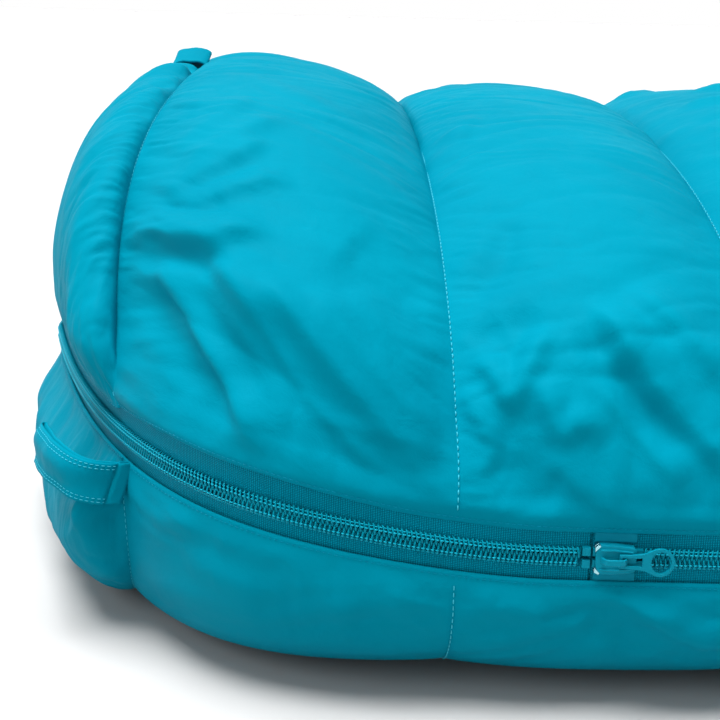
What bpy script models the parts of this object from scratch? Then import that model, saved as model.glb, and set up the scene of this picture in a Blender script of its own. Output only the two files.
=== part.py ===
"""Camp quilt, folded lengthwise and zipped up as a bag.

Frame: +X from the foot to the head, +Z up, the side zip towards -Y, the fold towards +Y, the ground at
z = 0 and the origin at the middle of the footprint. Lengths are in metres. `station` is the distance
from the foot zip along X, and `turn` is the angle round the quilt's section: 0 at the side zip, pi / 2
over the top, pi at the fold, and on under the quilt back to the zip at 2 pi.
"""
import math

import bmesh
import bpy
import numpy as np
from mathutils import Matrix, Vector

MM = 0.001

# The outline that the zip follows
FOOT_SEAM = 0.044            # station of the seam between the foot panel and the first chamber
CORNER_LENGTH = 0.16         # the foot's round corners end here, and the straight side zip starts
CORNER_FLATNESS = 4.15
SIDE_HALF_WIDTH = 0.2555     # half width that the straight sides would have at the foot
SIDE_TAPER = 0.055           # half width gained along each metre towards the head
FOOT_END_NEAR = 0.060        # the straight end of the foot reaches this far to each side
FOOT_END_FAR = 0.110
ZIP_HEIGHT_FOOT = 0.0795
ZIP_HEIGHT_SIDE = 0.056
ZIP_DROP_LENGTH = 0.19

# The chambers
CHAMBER_PITCHES = [0.110, 0.104, 0.112, 0.120, 0.128, 0.136] + [0.150] * 7
CROWN = 0.117                # top of a seam above the zip
LOWER_SQUARENESS = 0.42      # exponent of the flat-bottomed lower section
LOWER_OVERFILL = 1.06        # over 1, so that the underside is truly flat
PUFF_TOP = 0.0154            # how far a chamber stands out beyond its seams
PUFF_LOWER = 0.003
PUFF_FOOT_UPPER = 0.0107
PUFF_FOOT_LOWER = 0.0197
SEAM_LEAN = 0.0147           # the foot seam leans towards the head over the top
SEAM_BELLY = 0.0112          # and bows towards the foot at the shoulders
ZIP_PINCH = 0.045            # a chamber flattens over this distance from the zip

# Loft between the shell and the lining
SIDE_LOFT = 0.030
TOP_LOFT = 0.040
BOTTOM_LOFT = 0.022
ZIP_EDGE_LOFT = 0.012
HEAD_ROUNDING = 0.060        # the last chamber thins over this length
HEAD_PINCH = 0.7

# Layers, outermost first
CLOTH = 0.4 * MM
GAP = 0.4 * MM
FILL_DEPTH = CLOTH + GAP
FOOT_FILL_DEPTH = 2.4 * MM
CHAMBER_GAP = 0.5 * MM
WALL = 0.3 * MM
EDGE_HEIGHT = 12.3 * MM      # fill and cloth stop this far above and below the zip
FLANGE_OUTER = 12.0 * MM     # the lining turns over the fill's end between these two heights
FLANGE_INNER = 11.6 * MM
FOOT_EDGE_HEIGHT = 20.0 * MM

# The zips
TAPE_INNER = 1.0 * MM
TAPE_OUTER = 11.3 * MM
TAPE_THICKNESS = 0.6 * MM
COIL_INNER = 0.7 * MM
COIL_OUTER = 3.1 * MM
COIL_BASE = 0.3 * MM
COIL_TOP = 2.3 * MM
FOOT_ZIP_STATION = 0.1968    # near end of the foot zip
SIDE_ZIP_STATION = 0.1976    # lower end of the side zip
PIN_LENGTH = 16.0 * MM
STOP_LENGTH = 2.5 * MM
HEAD_MARGIN = 6.0 * MM
SLIDER_STATION = 0.2048      # lower side slider, parked at the zip's lower end
UPPER_SLIDER_INSET = 21.0 * MM
FOOT_SLIDER_INSET = 11.0 * MM
FILM_INNER = 5.3 * MM
FILM_LENGTH = 14.0 * MM

# One slider and its pull, in its own frame: along the zip, out of the tape, and across
SLIDER_NOSE = -6.5 * MM
SLIDER_REAR = 6.5 * MM
PLATE_TOP = 3.6 * MM
PLATE_UNDER = 2.5 * MM
BACK_TOP = -0.9 * MM
BACK_UNDER = -1.9 * MM
POST_HALF = 0.35 * MM
FLANGE_WIDTH = 0.7 * MM
FLANGE_FOOT = 0.35 * MM
BRIDGE_HALF = 1.0 * MM
PULL_AXIS_ALONG = 1.4 * MM
PULL_AXIS_OUT = 4.5 * MM
PULL_THICKNESS = 1.0 * MM
CROSSBAR_RADIUS = 0.6 * MM

# The two loops of shell cloth in the foot seam
LOOP_WIDTH = 15.0 * MM
LOOP_LENGTH = 46.0 * MM
LOOP_DROP = 9.0 * MM         # top edge of the hang loop below the zip
LOOP_SLANT = 5.0 * MM        # its lower edge lies this much nearer to the foot
LOOP_PLY = 0.5 * MM
LOOP_EYE = 1.6 * MM          # gap between the plies

SEAM_STATIONS = [FOOT_SEAM + sum(CHAMBER_PITCHES[:i]) for i in range(len(CHAMBER_PITCHES) + 1)]
LENGTH = SEAM_STATIONS[-1]
HEM = 3.0 * MM
FOOT_X = -0.5 * (LENGTH + HEM) + 0.003
UPPER_TURNS = [math.radians(a) for a in (14, 26, 42, 62, 90, 118, 138, 154, 166)]
LOWER_TURNS = [math.pi + math.radians(a) for a in (2, 8, 25, 42, 61, 90, 119, 138, 155, 172)]
CHAMBER_SHARES = (0.0, 0.22, 0.78, 1.0)

MATERIALS = {
    "shell_fabric": ((0.0, 0.718, 0.843), 0.55, 0.0),
    "lining_fabric": ((0.16, 0.22, 0.26), 0.6, 0.0),
    "down_fill": ((0.90, 0.89, 0.86), 0.95, 0.0),
    "baffle_mesh": ((0.80, 0.84, 0.86), 0.9, 0.0),
    "zip_tape": ((0.004, 0.498, 0.6), 0.8, 0.0),
    "zip_coil": ((0.008, 0.494, 0.592), 0.45, 0.0),
    "zip_hardware": ((0.008, 0.51, 0.608), 0.35, 0.3),
    "bare_metal": ((0.78, 0.80, 0.81), 0.3, 1.0),
    "reinforcing_film": ((0.0, 0.56, 0.67), 0.4, 0.0),
}


def linear(value):
    """One sRGB channel as linear light."""
    return value / 12.92 if value <= 0.04045 else ((value + 0.055) / 1.055) ** 2.4


def make_material(name):
    colour, roughness, metallic = MATERIALS[name]
    material = bpy.data.materials.new(name)
    material.use_nodes = True
    shader = material.node_tree.nodes["Principled BSDF"]
    shader.inputs["Base Color"].default_value = (*[linear(c) for c in colour], 1.0)
    shader.inputs["Roughness"].default_value = roughness
    shader.inputs["Metallic"].default_value = metallic
    return material


def smooth(t):
    t = np.clip(t, 0.0, 1.0)
    return t * t * (3.0 - 2.0 * t)


def mix(a, b, share):
    return a + (b - a) * share


# ---- The quilt's own shape ----------------------------------------------------------------------


def half_width(station, far=False):
    """Distance of the zip line, or of the fold, from the middle of the quilt."""
    end = np.where(far, FOOT_END_FAR, FOOT_END_NEAR)
    corner = np.clip(station / CORNER_LENGTH, 0.0, 1.0)
    side = SIDE_HALF_WIDTH + SIDE_TAPER * station
    return end + (side - end) * (1.0 - (1.0 - corner) ** CORNER_FLATNESS)


def zip_height(station):
    return mix(ZIP_HEIGHT_FOOT, ZIP_HEIGHT_SIDE, smooth(station / ZIP_DROP_LENGTH))


def foot_seam(turn):
    """Station of the foot seam. Under the quilt it runs straight across."""
    over = np.where(turn < math.pi, np.sin(turn), 0.0)
    shoulders = np.where(turn < math.pi, np.abs(np.sin(2.0 * turn)), 0.0)
    return FOOT_SEAM + SEAM_LEAN * over**2 - SEAM_BELLY * shoulders


def round_section(station, turn, inset=0.0, crown=CROWN, depth=None):
    """A section's base curve at each turn: across, up."""
    upper = turn <= math.pi
    power = np.where(upper, 1.0, LOWER_SQUARENESS)
    cosine = np.cos(turn)
    reach = np.sign(cosine) * np.abs(cosine) ** power
    rise = np.abs(np.sin(turn)) ** power
    zip_z = zip_height(station)
    depth = zip_z if depth is None else depth
    across = -(half_width(station, cosine < 0) - inset) * reach
    below = zip_z - depth * np.minimum(1.0, LOWER_OVERFILL * rise)
    return np.stack([across, np.where(upper, zip_z + crown * rise, below)], -1)


def section_normal(station, turn):
    step = 1e-4
    ahead = round_section(station, np.minimum(turn + step, 2.0 * math.pi - 1e-9))
    behind = round_section(station, np.maximum(turn - step, 1e-9))
    along = ahead - behind
    normal = np.stack([-along[..., 1], along[..., 0]], -1)
    return normal / (np.linalg.norm(normal, axis=-1, keepdims=True) + 1e-12)


def puff_profile(share):
    """Steep beside a seam and flat at the middle of a chamber."""
    return (1.0 - np.abs(2.0 * share - 1.0) ** 2) ** 0.6


def from_zip(station, points):
    """Distance of section points from the side zip."""
    return np.hypot(points[..., 0] + half_width(station), points[..., 1] - zip_height(station))


def shell_and_lining(station, share, turn):
    """Outer and inner points of a chamber at one share of its pitch, each (across, up)."""
    base = round_section(station, turn)
    distance = from_zip(station, base)
    puff = mix(PUFF_TOP, PUFF_LOWER, smooth((turn - math.pi + 0.6) / 0.6))
    underside = np.where(turn > math.pi, np.abs(np.sin(turn)) ** 6, 0.0)
    swell = puff * puff_profile(share) * smooth(distance / ZIP_PINCH) * (1.0 - underside)
    outer = base + section_normal(station, turn) * swell[..., None]
    outer[..., 1] = np.maximum(outer[..., 1], 0.0)
    cavity_depth = zip_height(station) - BOTTOM_LOFT
    inner = round_section(station, turn, SIDE_LOFT, CROWN - TOP_LOFT, cavity_depth)
    near_share = ZIP_EDGE_LOFT / SIDE_LOFT
    share_in = mix(near_share, 1.0, smooth(distance / 0.08))
    inner = mix(base, inner, share_in[..., None])
    t = np.clip((station - LENGTH + HEAD_ROUNDING) / HEAD_ROUNDING, 0.0, 1.0)
    pinch = (HEAD_PINCH * t**2)[..., None]
    middle = 0.5 * (outer + inner)
    return mix(outer, middle, pinch), mix(inner, middle, pinch)


def layer(station, share, turn, depth=0.0, from_lining=False):
    """World points at a depth under the shell, or out from the lining's inner face."""
    outer, inner = shell_and_lining(station, share, turn)
    inward = inner - outer
    inward /= np.linalg.norm(inward, axis=-1, keepdims=True)
    flat = inner - inward * depth if from_lining else outer + inward * depth
    return np.stack([station + FOOT_X, flat[..., 0], flat[..., 1]], -1)


def turn_at_height(station, height, below=False):
    """The turn at which the section is `height` above the zip, or below it."""
    if below:
        rise = (height / (LOWER_OVERFILL * zip_height(station))) ** (1.0 / LOWER_SQUARENESS)
        return 2.0 * math.pi - np.arcsin(rise)
    return math.asin(height / CROWN)


def girth(station):
    """The turns at which a section is sampled, from the zip round to the zip."""
    first = turn_at_height(station, EDGE_HEIGHT)
    last = turn_at_height(station, EDGE_HEIGHT, below=True)
    return np.array([first] + UPPER_TURNS + [math.pi] + LOWER_TURNS + [last])


def chamber_row(chamber, share, start_gap=CHAMBER_GAP, end_gap=CHAMBER_GAP):
    """Stations and turns of one row of points across a chamber."""
    turn = girth(SEAM_STATIONS[chamber])
    begin = SEAM_STATIONS[chamber] + np.zeros_like(turn)
    if chamber == 0:
        begin = foot_seam(turn)
    station = mix(begin + start_gap, SEAM_STATIONS[chamber + 1] - end_gap, share)
    turn[-1] = turn_at_height(float(station[-1]), EDGE_HEIGHT, below=True)
    return station, turn


# ---- Solids -------------------------------------------------------------------------------------


def new_object(name, mesh, material):
    obj = bpy.data.objects.new(name, mesh)
    bpy.context.scene.collection.objects.link(obj)
    mesh.materials.append(materials[material])
    return obj


def close_mesh(name, bm, material):
    bmesh.ops.recalc_face_normals(bm, faces=bm.faces)
    mesh = bpy.data.meshes.new(name)
    bm.to_mesh(mesh)
    bm.free()
    return new_object(name, mesh, material)


def slab(name, face_a, face_b, material):
    """A closed solid between two grids of the same size: their faces, and walls round the edges."""
    rows, columns = face_a.shape[:2]
    bm = bmesh.new()
    a, b = [[[bm.verts.new(p) for p in row] for row in grid] for grid in (face_a, face_b)]
    for grid in (a, b):
        for i in range(rows - 1):
            for j in range(columns - 1):
                bm.faces.new((grid[i][j], grid[i][j + 1], grid[i + 1][j + 1], grid[i + 1][j]))
    border = [(0, j) for j in range(columns)]
    border += [(i, columns - 1) for i in range(1, rows)]
    border += [(rows - 1, j) for j in range(columns - 2, -1, -1)]
    border += [(i, 0) for i in range(rows - 2, 0, -1)]
    for (i, j), (k, m) in zip(border, border[1:] + border[:1]):
        bm.faces.new((a[i][j], a[k][m], b[k][m], b[i][j]))
    return close_mesh(name, bm, material)


def loft(name, sections, material):
    """A closed solid through matching closed outlines, with flat ends."""
    bm = bmesh.new()
    loops = [[bm.verts.new(p) for p in section] for section in sections]
    for low, high in zip(loops, loops[1:]):
        for i in range(len(low)):
            k = (i + 1) % len(low)
            bm.faces.new((low[i], low[k], high[k], high[i]))
    bm.faces.new(loops[0])
    bm.faces.new(loops[-1])
    return close_mesh(name, bm, material)


# ---- Cloth, fill and walls ----------------------------------------------------------------------


def make_fill(chamber):
    rows = [chamber_row(chamber, share) for share in CHAMBER_SHARES]
    pairs = list(zip(CHAMBER_SHARES, rows))
    outer = np.array([layer(s, u, t, FILL_DEPTH) for u, (s, t) in pairs])
    inner = np.array([layer(s, u, t, FILL_DEPTH, True) for u, (s, t) in pairs])
    slab(f"down_fill_{chamber + 1:02d}", outer, inner, "down_fill")


def make_wall(seam):
    """The mesh wall between two chambers."""
    faces = []
    for offset in (-0.5 * WALL, 0.5 * WALL):
        turn = girth(SEAM_STATIONS[seam])
        station = SEAM_STATIONS[seam] + offset + np.zeros_like(turn)
        faces.append([layer(station, 0.0, turn, FILL_DEPTH + 0.3 * MM),
                      layer(station, 0.0, turn, FILL_DEPTH + 0.3 * MM, True)])
    slab(f"baffle_wall_{seam:02d}", np.array(faces[0]), np.array(faces[1]), "baffle_mesh")


def cloth_rows():
    """Every row of the shell: the stations of each chamber, each seam once."""
    rows = []
    last = len(CHAMBER_PITCHES) - 1
    for chamber in range(last + 1):
        for share in CHAMBER_SHARES[:-1]:
            start_gap = 0.2 * MM if chamber == 0 else 0.0
            rows.append((share, chamber_row(chamber, share, start_gap, 0.0)))
    rows.append((1.0, chamber_row(last, 1.0, 0.0, 0.0)))
    return rows


def make_shell():
    rows = cloth_rows()
    outer = np.array([layer(s, u, t) for u, (s, t) in rows])
    inner = np.array([layer(s, u, t, CLOTH) for u, (s, t) in rows])
    slab("outer_shell", outer, inner, "shell_fabric")


def make_lining():
    """The lining, with a flange at each edge that turns over the ends of the chambers."""
    faces_a, faces_b = [], []
    rows = cloth_rows()
    kept = [row for i, row in enumerate(rows) if i < 7 or (i % 3 == 0) or i > len(rows) - 4]
    for share, (station, turn) in kept:
        a = list(layer(station, share, turn, CLOTH, True))
        b = list(layer(station, share, turn, 0.0, True))
        for end, below in ((0, False), (-1, True)):
            s = station[[end]]
            ends = []
            for height in (FLANGE_OUTER, FLANGE_INNER):
                t = np.array([turn_at_height(float(s[0]), height, below)])
                lip = 1.2 * MM
                corner = CLOTH if height == FLANGE_OUTER else 0.0
                ends.append((layer(s, share, t, lip)[0], layer(s, share, t, corner, True)[0]))
            (lip_a, corner_a), (lip_b, corner_b) = ends
            at = 0 if end == 0 else len(a)
            a[at:at] = [lip_a, corner_a] if end == 0 else [corner_a, lip_a]
            b[at:at] = [lip_b, corner_b] if end == 0 else [corner_b, lip_b]
        faces_a.append(a)
        faces_b.append(b)
    slab("lining", np.array(faces_a), np.array(faces_b), "lining_fabric")


def make_head_hem():
    """The binding that closes the last chamber at the head."""
    turn = girth(LENGTH)
    faces = []
    for offset in (0.4 * MM, HEM):
        station = np.full_like(turn, LENGTH)
        plate = np.array([layer(station, 1.0, turn), layer(station, 1.0, turn, 0.0, True)])
        plate[..., 0] += offset
        faces.append(plate)
    slab("head_hem_binding", faces[0], faces[1], "shell_fabric")


# ---- The foot -----------------------------------------------------------------------------------


def rim_station(across):
    """Station of the zip line at a distance across, inside the foot's corners."""
    stations = np.linspace(0.0, FOOT_SEAM, 400)
    near = np.interp(-across, half_width(stations), stations, left=0.0)
    far = np.interp(across, half_width(stations, True), stations, left=0.0)
    return np.where(across < 0, near, far)


def foot_base(turn, swing):
    """The foot panel between the foot seam (swing 0) and the foot zip (swing pi / 2)."""
    seam = foot_seam(turn)
    seam_yz = round_section(seam, turn)
    rim_y = round_section(np.full_like(turn, FOOT_SEAM), turn)[..., 0]
    rim = rim_station(rim_y)
    rim_z = zip_height(rim)
    c, s = np.cos(swing), np.sin(swing)
    x = FOOT_SEAM + (seam - FOOT_SEAM) * c + (rim - FOOT_SEAM) * s
    y = mix(seam_yz[..., 0], rim_y, s**2)
    z = rim_z + (seam_yz[..., 1] - rim_z) * c
    return np.stack([x, y, z], -1)


def panel_rise(turn):
    """Height of the foot seam above, or its depth below, the point of the zip that faces it."""
    seam_z = foot_base(turn, 0.0 * turn)[..., 2]
    return np.abs(seam_z - foot_base(turn, 0.0 * turn + 0.5 * math.pi)[..., 2])


def foot_panel(turn, swing, depth=0.0):
    """World points of the foot panel, puffed out and then moved inwards by a depth."""
    step = 1e-4
    base = foot_base(turn, swing)
    by_turn = foot_base(turn + step, swing) - foot_base(turn - step, swing)
    by_swing = foot_base(turn, swing + step) - foot_base(turn, swing - step)
    normal = np.cross(by_turn, by_swing)
    normal /= np.linalg.norm(normal, axis=-1, keepdims=True) + 1e-12
    middle = np.array([FOOT_SEAM + 0.02, 0.0, zip_height(FOOT_SEAM)])
    inwards = np.sum(normal * (base - middle), -1, keepdims=True) < 0
    normal = np.where(inwards, -normal, normal)
    lower = turn > math.pi
    swell = np.where(lower, PUFF_FOOT_LOWER, PUFF_FOOT_UPPER) * puff_profile(swing / (0.5 * math.pi))
    swell *= smooth(np.abs(np.sin(turn)) / 0.35)
    swell *= np.where(lower, np.clip(1.3 * np.sin(swing), 0.0, 1.0), 1.0)
    points = base + normal * (swell - depth)[..., None]
    points[..., 2] = np.maximum(points[..., 2], depth)
    points[..., 0] += FOOT_X
    return points


def foot_turns(lower):
    if lower:
        edge = turn_at_height(FOOT_SEAM, FOOT_EDGE_HEIGHT, below=True)
        reach = np.array([0.96, 0.84, 0.68, 0.48, 0.26, 0.0])
        inner = math.pi + np.arccos(reach ** (1.0 / LOWER_SQUARENESS))
        inner = np.concatenate([inner, 3.0 * math.pi - inner[-2::-1]])
        return np.concatenate([[3.0 * math.pi - edge], inner, [edge]])
    edge = turn_at_height(FOOT_SEAM, FOOT_EDGE_HEIGHT)
    return np.array([edge] + UPPER_TURNS + [math.pi - edge])


def foot_grid(lower, depth, seam_gap):
    """Rows of a foot panel from the foot seam to just short of the tape."""
    turn = foot_turns(lower)
    rise = panel_rise(turn)
    last = np.arccos(np.clip(EDGE_HEIGHT / rise, 0.0, 1.0))
    rows = [foot_panel(turn, last * share, depth) for share in (0.0, 0.25, 0.5, 0.75, 1.0)]
    grid = np.array(rows)
    grid[..., 0] = np.minimum(grid[..., 0], FOOT_X + foot_seam(turn) - seam_gap)
    return grid


def foot_back(lower, gap):
    """A ruled face just before the foot seam: in through the first chamber's end, then to the zip's level."""
    turn = foot_turns(lower)
    station = foot_seam(turn)
    shell = layer(station, 0.0, turn, FILL_DEPTH)
    lining = layer(station, 0.0, turn, 0.0, True)
    side = -1.0 if lower else 1.0
    core = lining.copy()
    core[:, 1] *= 0.97
    core[:, 2] = zip_height(FOOT_SEAM) + side * EDGE_HEIGHT
    rows = [mix(shell, lining, 0.08), mix(shell, lining, 0.5), lining, mix(lining, core, 0.5), core]
    grid = np.array(rows)
    grid[..., 0] -= gap
    return grid


def make_foot(lower):
    end = "lower" if lower else "upper"
    seam_gap = 0.3 * MM
    slab(f"foot_shell_{end}", foot_grid(lower, 0.0, seam_gap), foot_grid(lower, CLOTH, seam_gap),
         "shell_fabric")
    slab(f"foot_fill_{end}", foot_grid(lower, FOOT_FILL_DEPTH, 2.5 * MM), foot_back(lower, 2.5 * MM),
         "down_fill")
    slab(f"foot_lining_{end}", foot_back(lower, 1.1 * MM), foot_back(lower, 0.7 * MM),
         "lining_fabric")


# ---- The zips -----------------------------------------------------------------------------------


def side_track(stations):
    """Points of the side zip's line, and the way out of the quilt at each."""
    s = np.asarray(stations, float)
    points = np.stack([s + FOOT_X, -half_width(s), zip_height(s)], -1)
    return points, outward(points)


def foot_track():
    """The foot zip: round the near corner, then straight across to its far end."""
    bend = FOOT_ZIP_STATION * np.linspace(1.0, 0.0, 19) ** 2.0
    corner = np.stack([bend + FOOT_X, -half_width(bend), zip_height(bend)], -1)
    end = np.array([[FOOT_X, FOOT_END_FAR, ZIP_HEIGHT_FOOT]])
    points = np.concatenate([corner, end])
    return points, outward(points)


def outward(points):
    along = np.gradient(points, axis=0)
    normal = np.stack([along[:, 1], -along[:, 0], 0.0 * along[:, 0]], -1)
    normal /= np.linalg.norm(normal, axis=-1, keepdims=True)
    middle = np.array([0.0, 0.0, 0.0])
    flip = np.sum(normal * (points - middle), -1, keepdims=True) < 0
    return np.where(flip, -normal, normal)


def strip(name, track, low, high, out_low, out_high, material):
    """A bar along a track: from `low` to `high` above it, and between two distances out of it."""
    points, out = track
    up = np.array([0.0, 0.0, 1.0])
    faces = []
    for distance in (out_low, out_high):
        faces.append(np.array([points + up * h + out * distance for h in (low, high)]))
    return slab(name, faces[0], faces[1], material)


def make_zip(name, tape_track, coil_track):
    for side, sign in (("upper", 1.0), ("lower", -1.0)):
        strip(f"{name}_tape_{side}", tape_track, sign * TAPE_INNER, sign * TAPE_OUTER,
              -TAPE_THICKNESS, 0.0, "zip_tape")
        strip(f"{name}_coil_{side}", coil_track, sign * COIL_INNER, sign * COIL_OUTER,
              COIL_BASE, COIL_TOP, "zip_coil")


def make_zips():
    head = LENGTH - HEAD_MARGIN
    stop_start = head - STOP_LENGTH
    pin_end = SIDE_ZIP_STATION + PIN_LENGTH
    make_zip("side_zip", side_track([SIDE_ZIP_STATION, head]),
             side_track([pin_end + 0.3 * MM, stop_start - 0.3 * MM]))
    points, out = foot_track()
    stop = side_track([FOOT_ZIP_STATION - STOP_LENGTH, FOOT_ZIP_STATION])
    coil_start, coil_out = side_track([FOOT_ZIP_STATION - STOP_LENGTH - 0.3 * MM,
                                       FOOT_ZIP_STATION - 2.0 * STOP_LENGTH])
    coil_end = points[-1] - Vector((0.0, STOP_LENGTH + 0.3 * MM, 0.0))
    coil = (np.concatenate([coil_start[:1], points[1:-1], [coil_end]]),
            np.concatenate([coil_out[:1], out[1:]]))
    make_zip("foot_zip", (points, out), coil)
    end_stop = (np.array([points[-1] - Vector((0.0, STOP_LENGTH, 0.0)), points[-1]]), out[-2:])
    strip("foot_zip_end_stop", end_stop, -COIL_OUTER, COIL_OUTER, COIL_BASE, COIL_TOP, "bare_metal")
    for side, sign in (("upper", 1.0), ("lower", -1.0)):
        across = (sign * COIL_INNER, sign * (COIL_OUTER + 0.4 * MM), COIL_BASE, COIL_TOP)
        strip(f"foot_zip_stop_{side}", stop, *across, "bare_metal")
        strip(f"side_zip_top_stop_{side}", side_track([stop_start, head]), *across, "bare_metal")
        pin = "insert_pin" if side == "upper" else "retainer_pin"
        strip(f"side_zip_{pin}", side_track([SIDE_ZIP_STATION, pin_end]), sign * COIL_INNER,
              sign * COIL_OUTER, COIL_BASE, COIL_TOP, "zip_hardware")
        film = side_track([SIDE_ZIP_STATION + 1.0 * MM, SIDE_ZIP_STATION + FILM_LENGTH])
        strip(f"film_patch_{side}", film, sign * FILM_INNER, sign * TAPE_OUTER,
              0.3 * MM, 0.5 * MM, "reinforcing_film")


# ---- Sliders and pulls --------------------------------------------------------------------------


def slider_section(along, half):
    """The slider's section: two plates, the post between them and the top plate's flanges."""
    right = [(half, PLATE_TOP), (half, FLANGE_FOOT), (half - FLANGE_WIDTH, FLANGE_FOOT),
             (half - FLANGE_WIDTH, PLATE_UNDER), (POST_HALF, PLATE_UNDER), (POST_HALF, BACK_TOP),
             (half, BACK_TOP), (half, BACK_UNDER)]
    left = [(-across, out) for across, out in reversed(right)]
    return [(along, out, across) for across, out in right + left]


def slider_body(name, place):
    widths = ((SLIDER_NOSE, 4.3), (SLIDER_NOSE + 1.2 * MM, 4.9), (-1.0 * MM, 4.9),
              (SLIDER_REAR - 1.0 * MM, 4.3), (SLIDER_REAR, 4.0))
    body = loft(name, [slider_section(a, w * MM) for a, w in widths], "zip_hardware")
    arch = [(-4.8, 3.3), (-3.8, 6.4), (2.8, 6.4), (3.8, 3.3), (2.8, 3.3), (2.1, 5.5), (-3.1, 5.5),
            (-3.8, 3.3)]
    bridge = loft(name + "_bridge", [[(a * MM, o * MM, k) for a, o in arch]
                                     for k in (-BRIDGE_HALF, BRIDGE_HALF)], "zip_hardware")
    bridge.hide_render = True
    bridge.display_type = "WIRE"
    union = body.modifiers.new("bridge", "BOOLEAN")
    union.operation = "UNION"
    union.solver = "EXACT"
    union.object = bridge
    for obj in (body, bridge):
        obj.matrix_world = place
    return body


def oval(centre, half_along, half_across, count=16):
    angles = [2.0 * math.pi * i / count for i in range(count)]
    return [(centre + half_along * math.cos(a), half_across * math.sin(a)) for a in angles]


def slider_pull(name, place):
    """The pull: two arms beside the bridge on a crossbar under it, a flat tab, and a ring."""
    neck = 7.4 * MM
    bm = bmesh.new()
    ring_outer = oval(12.4 * MM, 4.6 * MM, 4.7 * MM)
    tab = [(8.6, 3.0), (6.9, 2.9), (6.9, 0.0), (6.9, -2.9), (8.6, -3.0)]
    ring_outer[6:11] = [(along * MM, across * MM) for along, across in tab]
    ring_inner = oval(12.7 * MM, 3.0 * MM, 3.4 * MM)
    layers = []
    for out in (-0.5 * PULL_THICKNESS, 0.5 * PULL_THICKNESS):
        rings = [[bm.verts.new((a, out, k)) for a, k in ring] for ring in (ring_outer, ring_inner)]
        layers.append(rings)
        for i in range(len(ring_outer)):
            j = (i + 1) % len(ring_outer)
            bm.faces.new((rings[0][i], rings[0][j], rings[1][j], rings[1][i]))
    for ring in (0, 1):
        low, high = layers[0][ring], layers[1][ring]
        for i in range(len(low)):
            j = (i + 1) % len(low)
            bm.faces.new((low[i], low[j], high[j], high[i]))
    pull = close_mesh(name, bm, "zip_hardware")
    arm_out, arm_in = 2.3 * MM, 1.3 * MM
    fork = [(-0.4 * MM, -arm_out), (neck + 1.5 * MM, -arm_out), (neck + 1.5 * MM, arm_out),
            (-0.4 * MM, arm_out), (-0.4 * MM, arm_in), (neck, arm_in), (neck, -arm_in),
            (-0.4 * MM, -arm_in)]
    half = 0.5 * PULL_THICKNESS - 0.02 * MM
    arms = loft(name + "_arms", [[(a, o, k) for a, k in fork] for o in (-half, half)],
                "zip_hardware")
    bar_mesh = bmesh.new()
    bmesh.ops.create_cone(bar_mesh, cap_ends=True, segments=12, radius1=CROSSBAR_RADIUS,
                          radius2=CROSSBAR_RADIUS, depth=2.0 * (arm_out - 0.2 * MM))
    bar = close_mesh(name + "_crossbar", bar_mesh, "zip_hardware")
    for helper in (arms, bar):
        helper.hide_render = True
        helper.display_type = "WIRE"
        union = pull.modifiers.new(helper.name, "BOOLEAN")
        union.operation = "UNION"
        union.solver = "EXACT"
        union.object = helper
    axis = Matrix.Translation((PULL_AXIS_ALONG, PULL_AXIS_OUT, 0.0))
    for obj in (pull, arms, bar):
        obj.matrix_world = place @ axis
    return pull


def slider_place(point, rear, out):
    """A frame with its X along the zip towards the slider's rear and its Y out of the tape."""
    rear, out = Vector(rear).normalized(), Vector(out).normalized()
    across = rear.cross(out)
    place = Matrix((rear, out, across)).transposed().to_4x4()
    place.translation = Vector(point)
    return place


def side_place(station, to_head):
    points, out = side_track([station, station + 0.01])
    along = Vector(points[1] - points[0])
    return slider_place(points[0], along if to_head else -along, out[0])


def make_sliders():
    places = {
        "side_lower": side_place(SLIDER_STATION, True),
        "side_upper": side_place(LENGTH - UPPER_SLIDER_INSET, False),
        "foot": slider_place((FOOT_X, FOOT_END_FAR - FOOT_SLIDER_INSET, ZIP_HEIGHT_FOOT),
                             (0.0, -1.0, 0.0), (-1.0, 0.0, 0.0)),
    }
    for name, place in places.items():
        slider_body(f"{name}_slider", place)
        slider_pull(f"{name}_pull", place)
        axis = place @ Vector((PULL_AXIS_ALONG, PULL_AXIS_OUT, 0.0))
        print(name, "pull axis through", [round(v, 5) for v in axis],
              "along", [round(v, 5) for v in place.col[2].xyz],
              "travel", [round(v, 5) for v in place.col[0].xyz])


# ---- The loops of shell cloth -------------------------------------------------------------------


def band_loop(name, centre, out, half_eye):
    """A folded band: `centre` is its line from the seam to the fold, `out` the way off the quilt."""
    inner, outer = half_eye, half_eye + LOOP_PLY
    count = len(centre)
    reach = np.gradient(centre, axis=0)
    reach /= np.linalg.norm(reach, axis=-1, keepdims=True)
    paths = []
    for distance in (outer, inner):
        fold = [centre[-1] + reach[-1] * distance * math.cos(a) + out[-1] * distance * math.sin(a)
                for a in (math.pi / 4, 0.0, -math.pi / 4)]
        paths.append([centre[i] + out[i] * distance for i in range(count)] + fold
                     + [centre[i] - out[i] * distance for i in range(count - 1, -1, -1)])
    return [np.array(path) for path in paths]


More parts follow.
